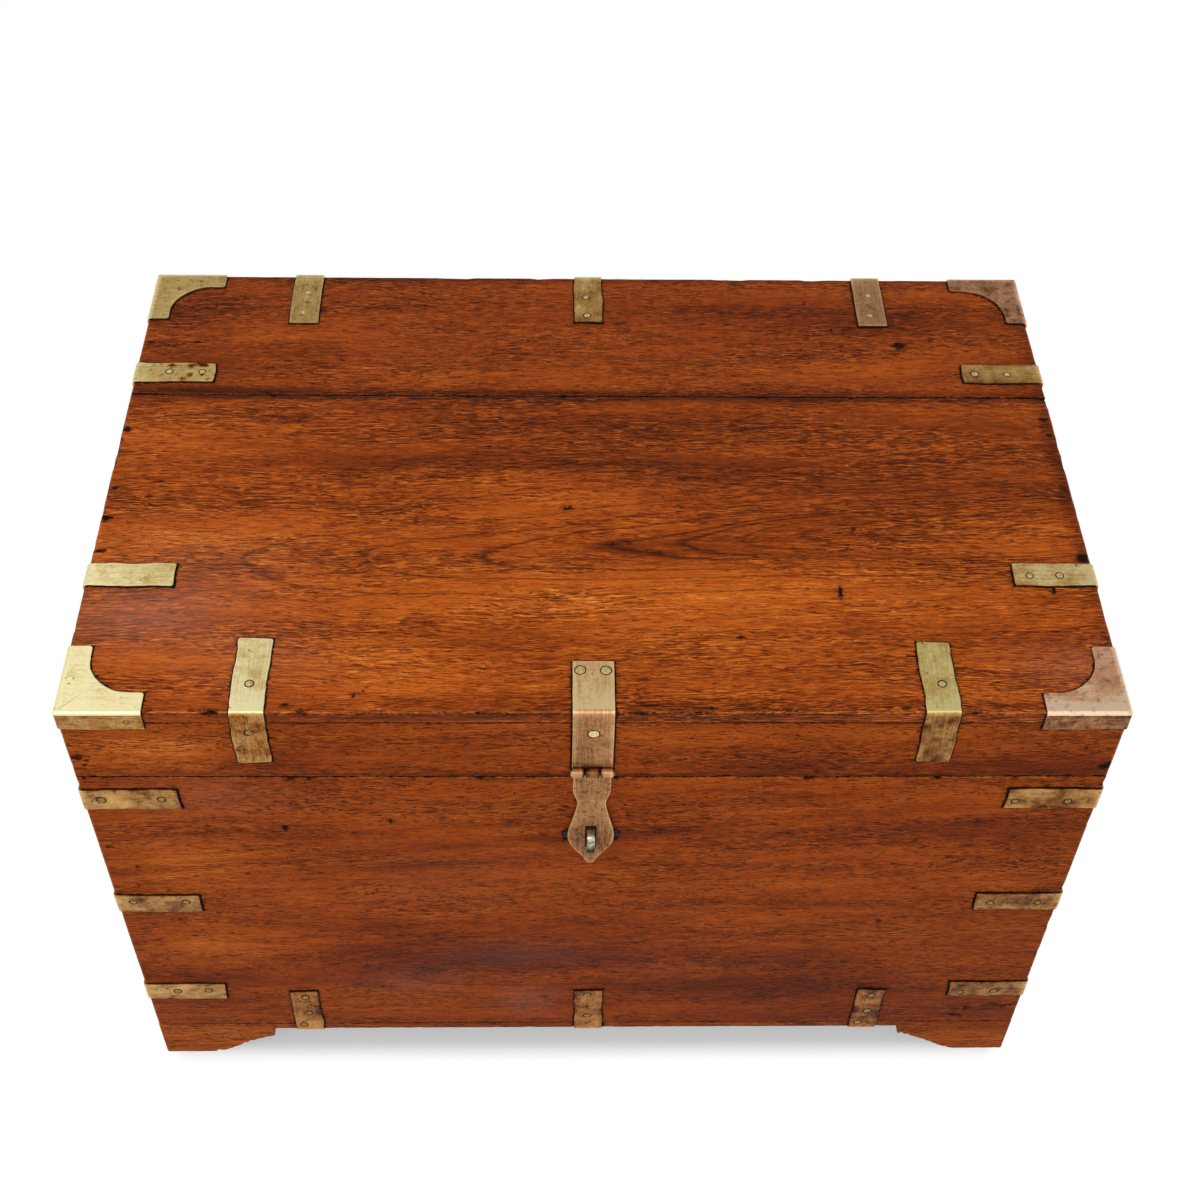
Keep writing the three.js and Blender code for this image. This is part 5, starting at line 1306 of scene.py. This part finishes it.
def strapGap(strap, points):
    # distance outside a strap's outline, for points on either of the two faces that it lies on
    u, v, w = ((points - strap["edge"]) @ strap["axes"].T).T
    first = (np.abs(v) < board["onFace"]) & (u > -board["onFace"])
    second = (np.abs(u) < board["onFace"]) & (v > -board["onFace"])
    s = np.where(first, u, -v)
    near = (first | second) & (np.abs(w) < strap["half"] + 25)
    gap = np.full(len(points), farAway)
    if near.any():
        low, high = strapSides(strap, s[near])
        across = w[near]
        gap[near] = np.maximum.reduce([across - high, low - across, s[near] - strapEnd(strap, across, 0),
                                       -s[near] - strapEnd(strap, across, 1)])
    return gap


def bracketGap(points):
    # distance outside the four lid corners: from the hollow's circle on top, and from the flange below
    x = chest["halfWidth"] - np.abs(points[:, 0])
    y = np.minimum(points[:, 1] - chest["front"], chest["back"] - points[:, 1])
    depth = chest["top"] - points[:, 2]
    leg, band, hollow, onFace = bracket["leg"], bracket["band"], bracket["hollow"], board["onFace"]
    centre = band + hollow
    curve = hollow - np.hypot(x - centre, y - centre)
    onTop = np.where((x < centre) & (y < centre), curve, np.where(x >= centre, y - band, x - band))
    onTop = np.maximum.reduce([onTop, x - leg, y - leg])
    onSide = np.maximum(depth - bracket["flange"], np.where(x < onFace, y, x) - leg)
    gap = np.where(depth < 1.5, onTop, np.where((x < onFace) | (y < onFace), onSide, farAway))
    return np.where(depth > 60, farAway, gap)


def plateGap(points, face, low, high):
    # distance outside a rectangle on the top, the front or the back; low and high are its corners
    level, axis, across = faceAxes[face]
    x, other = points[:, 0], points[:, across]
    gap = np.maximum.reduce([low[0] - x, x - high[0], low[1] - other, other - high[1]])
    return np.where(np.abs(points[:, axis] - level) < board["onFace"], gap, farAway)


def dirtAndShadeOn(points, seed):
    # Packed dirt and painted shade: black in the first millimetre outside the brass, then fading
    # over a few more; it stands for dirt against the brass and for shade beside its raised edge, with
    # the marks and the noise that breaks it up.
    gaps = [bracketGap(points)] + [strapGap(strap, points) for strap in straps]
    gap = np.minimum.reduce(gaps + [plateGap(points, *plate) for plate in plates])
    outside = np.maximum(gap, 0)
    broken = 0.62 + 0.75 * softNoise(points, 11, seed)
    dirt = np.maximum(np.exp(-((outside / 1.5) ** 2)), 0.36 * np.exp(-outside / 4.2)) * np.minimum(broken, 1)
    dirt = dirt * np.exp(np.minimum(gap + 2, 0) / 2)
    warped = softNoise(points, 2.4, seed + 1) - 0.5
    for face, faceMarks in marks.items():
        level, axis, other = faceAxes[face]
        onFace = np.abs(points[:, axis] - level) < 1.2
        for x, across, halfX, halfY, dark in faceMarks:
            far = np.hypot((points[:, 0] - x) / halfX, (points[:, other] - across) / halfY) + 0.9 * warped
            dirt = np.where(onFace, np.maximum(dirt, dark * np.clip(1.55 - far, 0, 1)), dirt)
    return dirt


def patchesOn(points, chosen):
    # sum over the patches of amount * exp(-(dx / half length) ** 2 - (dy / half width) ** 2)
    shade = np.zeros(len(points))
    for face, rows in chosen.items():
        level, axis, other = faceAxes[face]
        onFace = np.exp(-(np.abs(points[:, axis] - level) / 4) ** 2)
        for x, across, halfX, halfY, dark in rows:
            away = ((points[:, 0] - x) / halfX) ** 2 + ((points[:, other] - across) / halfY) ** 2
            shade += onFace * dark * np.exp(-away)
    return shade


def closePlaces(low, high, axis):
    # places along one axis where the grid of a board needs several closer lines, and where it needs one
    places, single = [], []
    for strap in straps:
        edge, half = strap["edge"], strap["half"]
        axisU, axisV, axisW = strap["axes"]
        corners = np.array([edge, edge + axisU * strap["legU"] + axisW * half,
                            edge + axisV * strap["legV"] - axisW * half])
        if (corners.min(0) < high + 3).all() and (corners.max(0) > low - 3).all():
            if abs(axisW[axis]) > 0.5:
                places += [edge[axis] - half, edge[axis] + half]
            else:
                places += [corners[:, axis].min(), corners[:, axis].max()]
    for face, faceMarks in marks.items():
        level, levelAxis, other = faceAxes[face]
        if low[levelAxis] - 0.1 < level < high[levelAxis] + 0.1 and axis in (0, other):
            for x, across, halfX, halfY, _ in faceMarks:
                centre, half = (x, halfX) if axis == 0 else (across, halfY)
                if low[0] <= x <= high[0] and low[other] <= across <= high[other]:
                    single += [centre - half, centre, centre + half]
    for face, first, last in plates:
        if axis == 0:
            places += [first[0], last[0]]
        elif axis == faceAxes[face][2]:
            places += [first[1], last[1]]
    if high[2] > chest["top"] - 30:
        edges = {0: ((-chest["halfWidth"], 1), (chest["halfWidth"], -1)),
                 1: ((chest["front"], 1), (chest["back"], -1)), 2: ()}[axis]
        for edge, sign in edges:
            places += [edge + sign * k for k in (bracket["band"], bracket["leg"])]
            single += [edge + sign * k for k in board["bracketLines"]]
        if axis == 2:
            places += [chest["top"] - bracket["flange"]]
    return places, single


def gridLines(low, high, radius, places, single):
    # even steps, closer at both arrises and beside the places; lines nearer than the least step
    # fall together
    even = np.linspace(low, high, max(2, round((high - low) / board["step"])) + 1)
    ease, close = np.array(board["easeLines"]) * radius, np.array(board["closeLines"])
    lines = [even, low + ease, high - ease, np.array(single)]
    for place in places:
        lines += [place + close, place - close]
    every = np.concatenate(lines)
    every = every[(every > low + 0.2) & (every < high - 0.2)]
    every = low + np.unique(np.round((every - low) / board["leastStep"])) * board["leastStep"]
    return np.concatenate([[low], every[every < high - 0.2], [high]])


def roundedBlock(low, high, radius, lines, flush):
    # A board with round arrises. Each side is a grid of two parameters; a point q of it goes to
    # c + radius * (q - c) / |q - c|, where c is q held inside the board shrunk by the radius.
    inset = np.full((2, 3), float(radius))
    for axis, end in flush:
        inset[end, axis] = 0
    blocks, faces, sides, start = [], [], [], 0
    for axis in range(3):
        a, b = (axis + 1) % 3, (axis + 2) % 3
        for end in (0, 1):
            gridA, gridB = np.meshgrid(lines[a], lines[b], indexing="ij")
            q = np.empty((gridA.size, 3))
            q[:, a], q[:, b], q[:, axis] = gridA.ravel(), gridB.ravel(), (low, high)[end][axis]
            quads = gridFaces(len(lines[a]), len(lines[b]), start)
            faces.append(quads if end else quads[:, ::-1])
            sides.append(np.full(len(quads), axis * 2 + end))
            blocks.append(q)
            start += len(q)
    q = np.concatenate(blocks)
    core = np.clip(q, low + inset[0], high - inset[1])
    off = q - core
    length = np.linalg.norm(off, axis=1, keepdims=True)
    points = np.where(length > radius - 1e-6, core + off * radius / np.maximum(length, 1e-9), q)
    points, merged = mergeAlike(points)
    return points, merged[np.concatenate(faces)], np.concatenate(sides)


def wearArrises(points, low, high, seed, flush, wear, chip):
    # Rubs the arrises down. The second smallest distance to a side is the distance to an arris,
    # and a point near one moves inwards by noise * exp(-(distance / reach) ** 2).
    gapLow, gapHigh = points - low, high - points
    for axis, end in flush:
        (gapHigh if end else gapLow)[:, axis] = 1e3
    gaps = np.minimum(gapLow, gapHigh)
    near = np.sort(gaps, axis=1)[:, 1]
    inward = np.where(gapLow < gapHigh, 1.0, -1.0) * np.exp(-(gaps / board["reach"]) ** 2)
    inward = inward / np.maximum(np.linalg.norm(inward, axis=1, keepdims=True), 1e-6)
    slow, fine = softNoise(points, 60, seed), softNoise(points, 6, seed + 1)
    bite = patchy(points, 7.5, seed + 2, 0.60, 4) * patchy(points, 30, seed + 3, 0.38, 5)
    amount = wear * (0.15 + slow * fine * 1.6) + chip * bite
    fall = np.exp(-(near / board["reach"]) ** 2)
    moved = points + inward * (amount * fall)[:, None]
    # paler wood along the arrises: rubbed wear, with a painted highlight where the arris catches the light
    rub = np.exp(-(near / 1.05) ** 2) * np.clip(0.2 + 1.5 * slow * (0.4 + fine), 0, 1) * (1 - bite)
    line = patchy(points, 23, seed + 4, 0.30, 2.5)
    dark = np.maximum(np.exp(-(near / 3.5) ** 2) * bite, 0.62 * np.exp(-(near / 1.3) ** 2) * line)
    return moved, rub, dark


# joints that hold dirt: (axis, place, strength, width)
plankJoint, railJoint = (1, chest["plankJoint"], 0.78, 1.3), (2, chest["railJoint"], 0.75, 0.8)
boardKinds = {
    "plank": {"body": "lid", "slot": "wood_top", "arris": 1.1, "wear": 1.1, "chip": 1.0, "flush": ((2, 0),),
              "seams": (plankJoint, railJoint, (2, 496.2, 0.5, 0.8))},
    "rail": {"body": "lid", "slot": "wood_case", "arris": 0.8, "wear": 0.7, "chip": 0.6, "flush": ((2, 1),),
             "seams": (railJoint, (2, chest["lidSeam"] - 0.3, 1.2, 1.1))},
    "wall": {"body": "box", "slot": "wood_case", "arris": 0.8, "wear": 0.7, "chip": 0.6, "flush": ((2, 0),),
             "seams": ((2, chest["lidSeam"] - 0.2, 1.0, 0.8), (2, chest["plinthJoint"], 0.55, 0.9))},
    "bottom": {"body": "box", "slot": "wood_bare", "arris": 0.8, "wear": 0.2, "chip": 0.2, "flush": (),
               "seams": ()},
}
boardKinds["endRail"] = {**boardKinds["rail"], "wear": 0.6}
boardKinds["endWall"] = {**boardKinds["wall"], "wear": 0.6}
# node, kind, finish outside and inside, the sides left unwaxed (axis * 2 + end), and seed
boards = [
    ("lid_plank_front", "plank", "topFront", "bare", (4,), 11),
    ("lid_plank_back", "plank", "topBack", "bare", (4,), 23),
    ("lid_rail_front", "rail", "lidRail", "bare", (3,), 31),
    ("front_board", "wall", "wall", "bare", (3,), 81),
    ("lid_rail_back", "rail", "lidRail", "bare", (2,), 37),
    ("back_board", "wall", "wallBack", "bare", (2,), 87),
    ("lid_rail_left", "endRail", "wallEnd", "bareEnd", (1,), 60),
    ("end_board_left", "endWall", "wallEnd", "bareEnd", (1,), 70),
    ("lid_rail_right", "endRail", "wallEnd", "bareEnd", (0,), 62),
    ("end_board_right", "endWall", "wallEnd", "bareEnd", (0,), 72),
    ("bottom_board", "bottom", "bare", "bare", (), 83),
]


def lappedBlocks(low, high, inwards):
    # a front or back board: a full-thickness middle, and a thin lap past each end board
    end = chest["halfWidth"] - chest["wall"] - chest["gap"]
    middleLow, middleHigh = low.copy(), high.copy()
    middleLow[0], middleHigh[0] = -end, end
    blocks = [(middleLow, middleHigh, ((0, 0), (0, 1)))]
    for first, last, flush in ((low[0], -end, (0, 1)), (end, high[0], (0, 0))):
        lapLow, lapHigh = low.copy(), high.copy()
        lapLow[0], lapHigh[0] = first, last
        if inwards > 0:
            lapHigh[1] = low[1] + chest["wallLap"]
        else:
            lapLow[1] = high[1] - chest["wallLap"]
        blocks.append((lapLow, lapHigh, (flush,)))
    return blocks


def makeBoard(node, kind, outside, inside, bareSides, seed):
    # a board made of one block, or of three where its ends are lapped
    kind = boardKinds[kind]
    low, high = (np.array(corner) * 1000 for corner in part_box(node))
    blocks = [(low, high, ())]
    if bareSides in ((2,), (3,)):
        blocks = lappedBlocks(low, high, 1 if bareSides == (3,) else -1)
    parts = {key: [] for key in ("points", "faces", "bare", "rub", "dirt", "shade", "bloom")}
    start = 0
    for low, high, ends in blocks:
        flush = (*ends, *kind["flush"])  # the sides that meet another board keep sharp arrises
        lines = [gridLines(low[k], high[k], kind["arris"], *closePlaces(low, high, k)) for k in range(3)]
        points, faces, sides = roundedBlock(low, high, kind["arris"], lines, flush)
        points, rub, dark = wearArrises(points, low, high, seed, flush, board["wear"] * kind["wear"],
                                        board["chip"] * kind["chip"])
        # dirt with its painted shade, and the rubbed arrises with their painted highlight, lie where
        # the outside of the chest is, not between its boards
        within = np.minimum.reduce([chest["halfWidth"] - np.abs(points[:, 0]), points[:, 1] - chest["front"],
                                    chest["back"] - points[:, 1], chest["top"] - points[:, 2]])
        shown = np.exp(-(within / 4) ** 2)
        dirt = np.maximum(dirtAndShadeOn(points, seed + 9), dark * (0.3 + 0.7 * shown))
        rub = rub * (0.2 + 0.8 * shown)
        for axis, place, strength, width in kind["seams"]:
            closeness = np.exp(-((points[:, axis] - place) / width) ** 2) * shown
            dirt = np.maximum(dirt, strength * closeness * (0.6 + 0.8 * softNoise(points, 24, seed + 12)))
            rub = rub * (1 - closeness)
        made = (points, faces + start, np.isin(sides, bareSides), rub, np.clip(dirt, 0, 1),
                patchesOn(points, patches), patchesOn(points, bloom))
        for key, value in zip(parts, made):
            parts[key].append(value)
        start += len(points)
    points, faces, bare = (np.concatenate(parts.pop(key)) for key in ("points", "faces", "bare"))
    values = {key: np.concatenate(part) for key, part in parts.items()}
    piece = makePiece(node + "_wood", points, faces, kind["body"], [outside, inside], values,
                      faceMaterial=bare, sharp=60)
    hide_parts(node)


for row in boards:
    makeBoard(*row)
print("boards made:", len(boards))

plinth = {
    "height": 52.0, "thickness": 18.0, "foot": 100.0, "pad": 44.0, "step": 29.0, "arch": 43.0,
    "archCorner": 4.0, "arris": 1.2, "ragged": 1.7, "mitreReach": 60.0, "mitreGap": 0.3, "insideDirt": 0.35,
}
# node, length, turn, the middle of its outer face, finish and seed
plinthBoards = [
    ("plinth_front", 762, 0, (0, chest["front"], 0), "plinth", 401),
    ("plinth_back", 762, math.pi, (0, chest["back"], 0), "plinth", 411),
    ("plinth_right", 492, quarter, (chest["halfWidth"], chest["middleY"], 0), "plinthEnd", 421),
    ("plinth_left", 492, -quarter, (-chest["halfWidth"], chest["middleY"], 0), "plinthEnd", 431),
]


def plinthLower(fromEnd, seed, along):
    # height of the plinth's lower edge at a distance from the end of the board: flat under the
    # pad, an ogee up to the step, then the arch, frayed by wear
    t = np.linspace(0, 1, 60)
    first, second, last = 3 * t * (1 - t) ** 2, 3 * t ** 2 * (1 - t), t ** 3
    curveAt = plinth["pad"] + (plinth["foot"] - plinth["pad"]) * (0.3 * first + 0.5 * second + last)
    curve = plinth["step"] * (0.1 * first + 0.7 * second + last)
    foot = np.interp(fromEnd, curveAt, curve, left=0.0)
    corner = plinth["archCorner"]
    past = np.clip(fromEnd - plinth["foot"], 0, corner)
    rise = np.sqrt(np.maximum(corner ** 2 - (corner - past) ** 2, 0))
    height = np.where(fromEnd <= plinth["foot"], foot, plinth["arch"] - corner + rise)
    fray = np.clip(0.8 * ragged(along, 9, seed) + ragged(along, 3.1, seed + 1), 0, 2)
    share = np.where(fromEnd < plinth["pad"] - 2, 0.25, np.where(fromEnd > plinth["foot"], 0.35, 1.0))
    return height + plinth["ragged"] * share * fray


def makePlinth(node, length, turn, middle, finish, seed):
    # A profile carried along the board: at each place the section is a rectangle from the lower
    # edge up to the top, with round outer arrises; near the ends the inner side is drawn back
    # along the mitre.
    half, foot, pad = length / 2, plinth["foot"], plinth["pad"]
    gaps = np.concatenate([
        [0.0, 0.4, 1.0, 2.0], np.linspace(3, pad, 18), np.linspace(pad, foot, 42)[1:], [foot + 1e-4],
        foot + np.array([0.4, 1.0, 1.8, 2.8, 4.0]),
        np.linspace(foot + 4, half, max(3, round((half - foot - 4) / 4)))[1:]])
    along = np.concatenate([gaps - half, (half - gaps)[:-1][::-1]])
    fromEnd = half - np.abs(along)
    low = plinthLower(fromEnd, seed, along)
    low = np.where(fromEnd < 2, low + 0.6 * (1 - fromEnd / 2), low)
    top, thick, r = plinth["height"], plinth["thickness"], plinth["arris"]
    arc = np.radians([0, 22.5, 45, 67.5, 90])
    # section: up the outer face, over the top, down the inner face and along the bottom
    depth = np.concatenate([r - r * np.sin(arc), np.zeros(7), [0.5, thick - 0.5], np.full(4, thick),
                            [thick - 0.5, thick * 0.5, r + 0.5]])
    level = np.concatenate([r - r * np.cos(arc), np.zeros(16)])
    share = np.concatenate([np.zeros(5), [0.04, 0.12, 0.3, 0.5, 0.7, 0.9, 0.99, 1, 1, 0.99, 0.75, 0.5, 0.2],
                            np.zeros(3)])
    height = column(low) + column(top - low) * share + level * (share == 0)
    ends = np.clip((plinth["mitreReach"] - fromEnd) / plinth["mitreReach"], 0, 1)
    x = column(along) - column(np.sign(along)) * (column(ends) * (depth + plinth["mitreGap"]))
    local = np.stack([x, np.repeat(depth[None, :], len(along), 0), height], -1).reshape(-1, 3)
    count = len(depth)
    faces = gridFaces(len(along), count, closed=True)[:, ::-1].tolist()
    faces += [list(range(count)), list(range(len(local) - 1, len(local) - 1 - count, -1))]
    c, s = round(math.cos(turn)), round(math.sin(turn))
    points = local @ np.array([[c, s, 0], [-s, c, 0], [0, 0, 1]]) + np.array(middle)
    atEdge = np.exp(-((local[:, 2] - np.repeat(low, count)) / 2.2) ** 2)
    grit = softNoise(points, 5, seed + 3)
    joint = 0.75 * np.exp(-(top - points[:, 2]) / 1.0) * (0.4 + 0.6 * softNoise(points, 20, seed + 4))
    dirt = np.maximum.reduce([dirtAndShadeOn(points, seed + 5), joint, atEdge * np.clip(grit * 1.8 - 0.75, 0, 0.8),
                              plinth["insideDirt"] * (local[:, 1] > 2)])
    values = {"rub": 0.6 * atEdge * (local[:, 1] < 2) * np.clip(1.3 - grit * 1.5, 0, 1),
              "dirt": np.clip(dirt, 0, 1), "shade": patchesOn(points, patches)}
    piece = makePiece(node + "_wood", points, faces, "box", [finish], values, sharp=40)
    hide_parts(node)


for row in plinthBoards:
    makePlinth(*row)
print("plinth made:", len(plinthBoards))

# The studio, in metres: places, sizes and powers of its lights, and tones of floor and cloth
studio = {
    "floorTone": "#c2c2c2", "floorShare": 0.37, "floorShadow": (0.36, 0.231, 0), "floorFade": 0.025,
    "floorSide": 9.0, "clothTone": "#f0f0f0", "clothShade": "#e4e4e4", "clothRadius": 3.4,
    "clothHeight": 0.3, "clothSide": 3.2, "skyGlow": 1.0,
    "keyPlace": (-0.7, -1.9, 2.3), "keyAim": (0, 0, 0.35), "keySize": (1.6, 1.2), "keyPower": 16.0,
    "sheenPlace": (-1.35, 1.35, 2.75), "sheenAim": (-0.3, -0.1, 0.5), "sheenSize": (1.3, 1.0),
    "sheenPower": 3.2,
}
white = (1, 1, 1, 1)


def stagePiece(name, corners, material):
    # a strip of quads from pairs of corners, part of the studio and of no body
    mesh = bpy.data.meshes.new(name)
    mesh.from_pydata(corners, [], gridFaces(len(corners) // 2, 2).tolist())
    mesh.materials.append(material)
    piece = bpy.data.objects.new(name, mesh)
    bpy.context.scene.collection.objects.link(piece)
    return piece


def makeFloor():
    # Matt pale paint. What the camera sees of it, straight or in the metal, turns to plain white
    # a hand's breadth outside the chest, and the shadow under the chest stays.
    material, add = newMaterial("paintedFloor")
    rays = add("LightPath")
    seen = rays["Is Camera Ray"]
    for kind in ("Is Glossy Ray", "Is Transmission Ray"):
        seen = add("Math", larger, [seen, rays[kind]])[0]
    # distance outside the chest's own rectangle, in metres
    beside = add("VectorMath", {"operation": "ABSOLUTE"}, [add("TexCoord")["Object"]])[0]
    beside = add("VectorMath", {"operation": "SUBTRACT"}, [beside, studio["floorShadow"]])[0]
    beside = add("VectorMath", larger, [beside, (0, 0, 0)])[0]
    far = add("VectorMath", {"operation": "LENGTH"}, [beside])["Value"]
    whiteness = add("MapRange", {"interpolation_type": "SMOOTHSTEP"},
                    [far, 0.0, studio["floorFade"], studio["floorShare"], 1.0])[0]
    share = add("Math", multiply, [seen, whiteness])[0]
    paint = add("BsdfDiffuse", {}, {"Color": linear(studio["floorTone"])})[0]
    light = add("Emission", {}, {"Color": white, "Strength": 1.0})[0]
    both = add("MixShader", {}, [share, paint, light])[0]
    add("OutputMaterial", {}, {"Surface": both})
    material.cycles.emission_sampling = "NONE"
    side = studio["floorSide"]
    stagePiece("studioFloor", [(x, y, 0) for y in (-side, side) for x in (-side, side)], material)


def makeCloth():
    # Grey woven cloth, hung in an arc behind and over the chest, which its top mirrors as a broad
    # even sheen. It isn't in any picture.
    material, add = newMaterial("greyCloth")
    weave = add("TexNoise", {}, {"Vector": add("TexCoord")["Object"], "Scale": 3.0, "Detail": 2.0})[0]
    tone = add("ValToRGB", {"stops": [(0.3, studio["clothTone"]), (0.7, studio["clothShade"])]}, [weave])[0]
    add("OutputMaterial", {}, {"Surface": add("BsdfDiffuse", {}, {"Color": tone})[0]})
    turn = np.radians(np.arange(12, 79, 6))
    y = studio["clothRadius"] * np.cos(turn)
    z = studio["clothHeight"] + studio["clothRadius"] * np.sin(turn)
    side = studio["clothSide"]
    corners = [(x, y[k], z[k]) for k in range(len(turn)) for x in (side, -side)]
    cloth = stagePiece("greyCloth", corners, material)
    cloth.visible_camera = False
    cloth.visible_shadow = False


def makeSky():
    # a plain white room
    world = bpy.data.worlds.new("whiteRoom")
    bpy.context.scene.world = world
    world.use_nodes = True
    world.node_tree.nodes.clear()
    add = partial(addNode, world.node_tree)
    glow = add("Background", {}, {"Color": white, "Strength": studio["skyGlow"]})[0]
    add("OutputWorld", {}, {"Surface": glow})


def addSoftbox(name, label):
    # an upright oblong light at its place, turned to its aim
    light = bpy.data.lights.new(name, "AREA")
    light.shape = "RECTANGLE"
    light.size, light.size_y = studio[label + "Size"]
    light.energy = studio[label + "Power"]
    lamp = bpy.data.objects.new(name, light)
    place = Vector(studio[label + "Place"])
    lamp.location = place
    lamp.rotation_mode = "QUATERNION"
    lamp.rotation_quaternion = (Vector(studio[label + "Aim"]) - place).to_track_quat("-Z", "Y")
    bpy.context.scene.collection.objects.link(lamp)


# place in mm, angles in radians, focal length in pixels of the picture, sensor in mm
camera = {
    "place": (-29.02, -1021.2, 1486.42), "pitch": 0.84, "yaw": -0.0372, "roll": -0.0294,
    "focal": 1776.82, "picture": 1200, "sensor": 36.0, "near": 0.05, "far": 60,
}


def makeCamera():
    # the photograph's own camera, solved from the square corners of the chest
    pitch, yaw, roll = camera["pitch"], camera["yaw"], camera["roll"]
    forward = np.array([0, math.cos(pitch), -math.sin(pitch)])
    up = np.array([0, math.sin(pitch), math.cos(pitch)])
    right = np.array([1.0, 0, 0])
    c, s = math.cos(yaw), math.sin(yaw)
    turn = np.array([[c, s, 0], [-s, c, 0], [0, 0, 1]]).T
    axisX = turn @ (right * math.cos(roll) - up * math.sin(roll))
    axisY = turn @ (right * math.sin(roll) + up * math.cos(roll))
    axisZ = -(turn @ forward)
    data = bpy.data.cameras.new("photoCamera")
    data.sensor_width = camera["sensor"]
    data.lens = camera["focal"] / camera["picture"] * camera["sensor"]
    data.clip_start, data.clip_end = camera["near"], camera["far"]
    viewer = bpy.data.objects.new("photoCamera", data)
    rows = [[axisX[k], axisY[k], axisZ[k], camera["place"][k] * mm] for k in range(3)]
    viewer.matrix_world = Matrix(rows + [[0, 0, 0, 1]])
    bpy.context.scene.collection.objects.link(viewer)
    bpy.context.scene.camera = viewer


makeFloor()
makeCloth()
makeSky()
addSoftbox("keySoftbox", "key")
# seen in the lid's left front brass as a soft sheen
addSoftbox("sheenSoftbox", "sheen")
makeCamera()
bpy.context.scene.view_settings.view_transform = "Standard"
print("studio made")
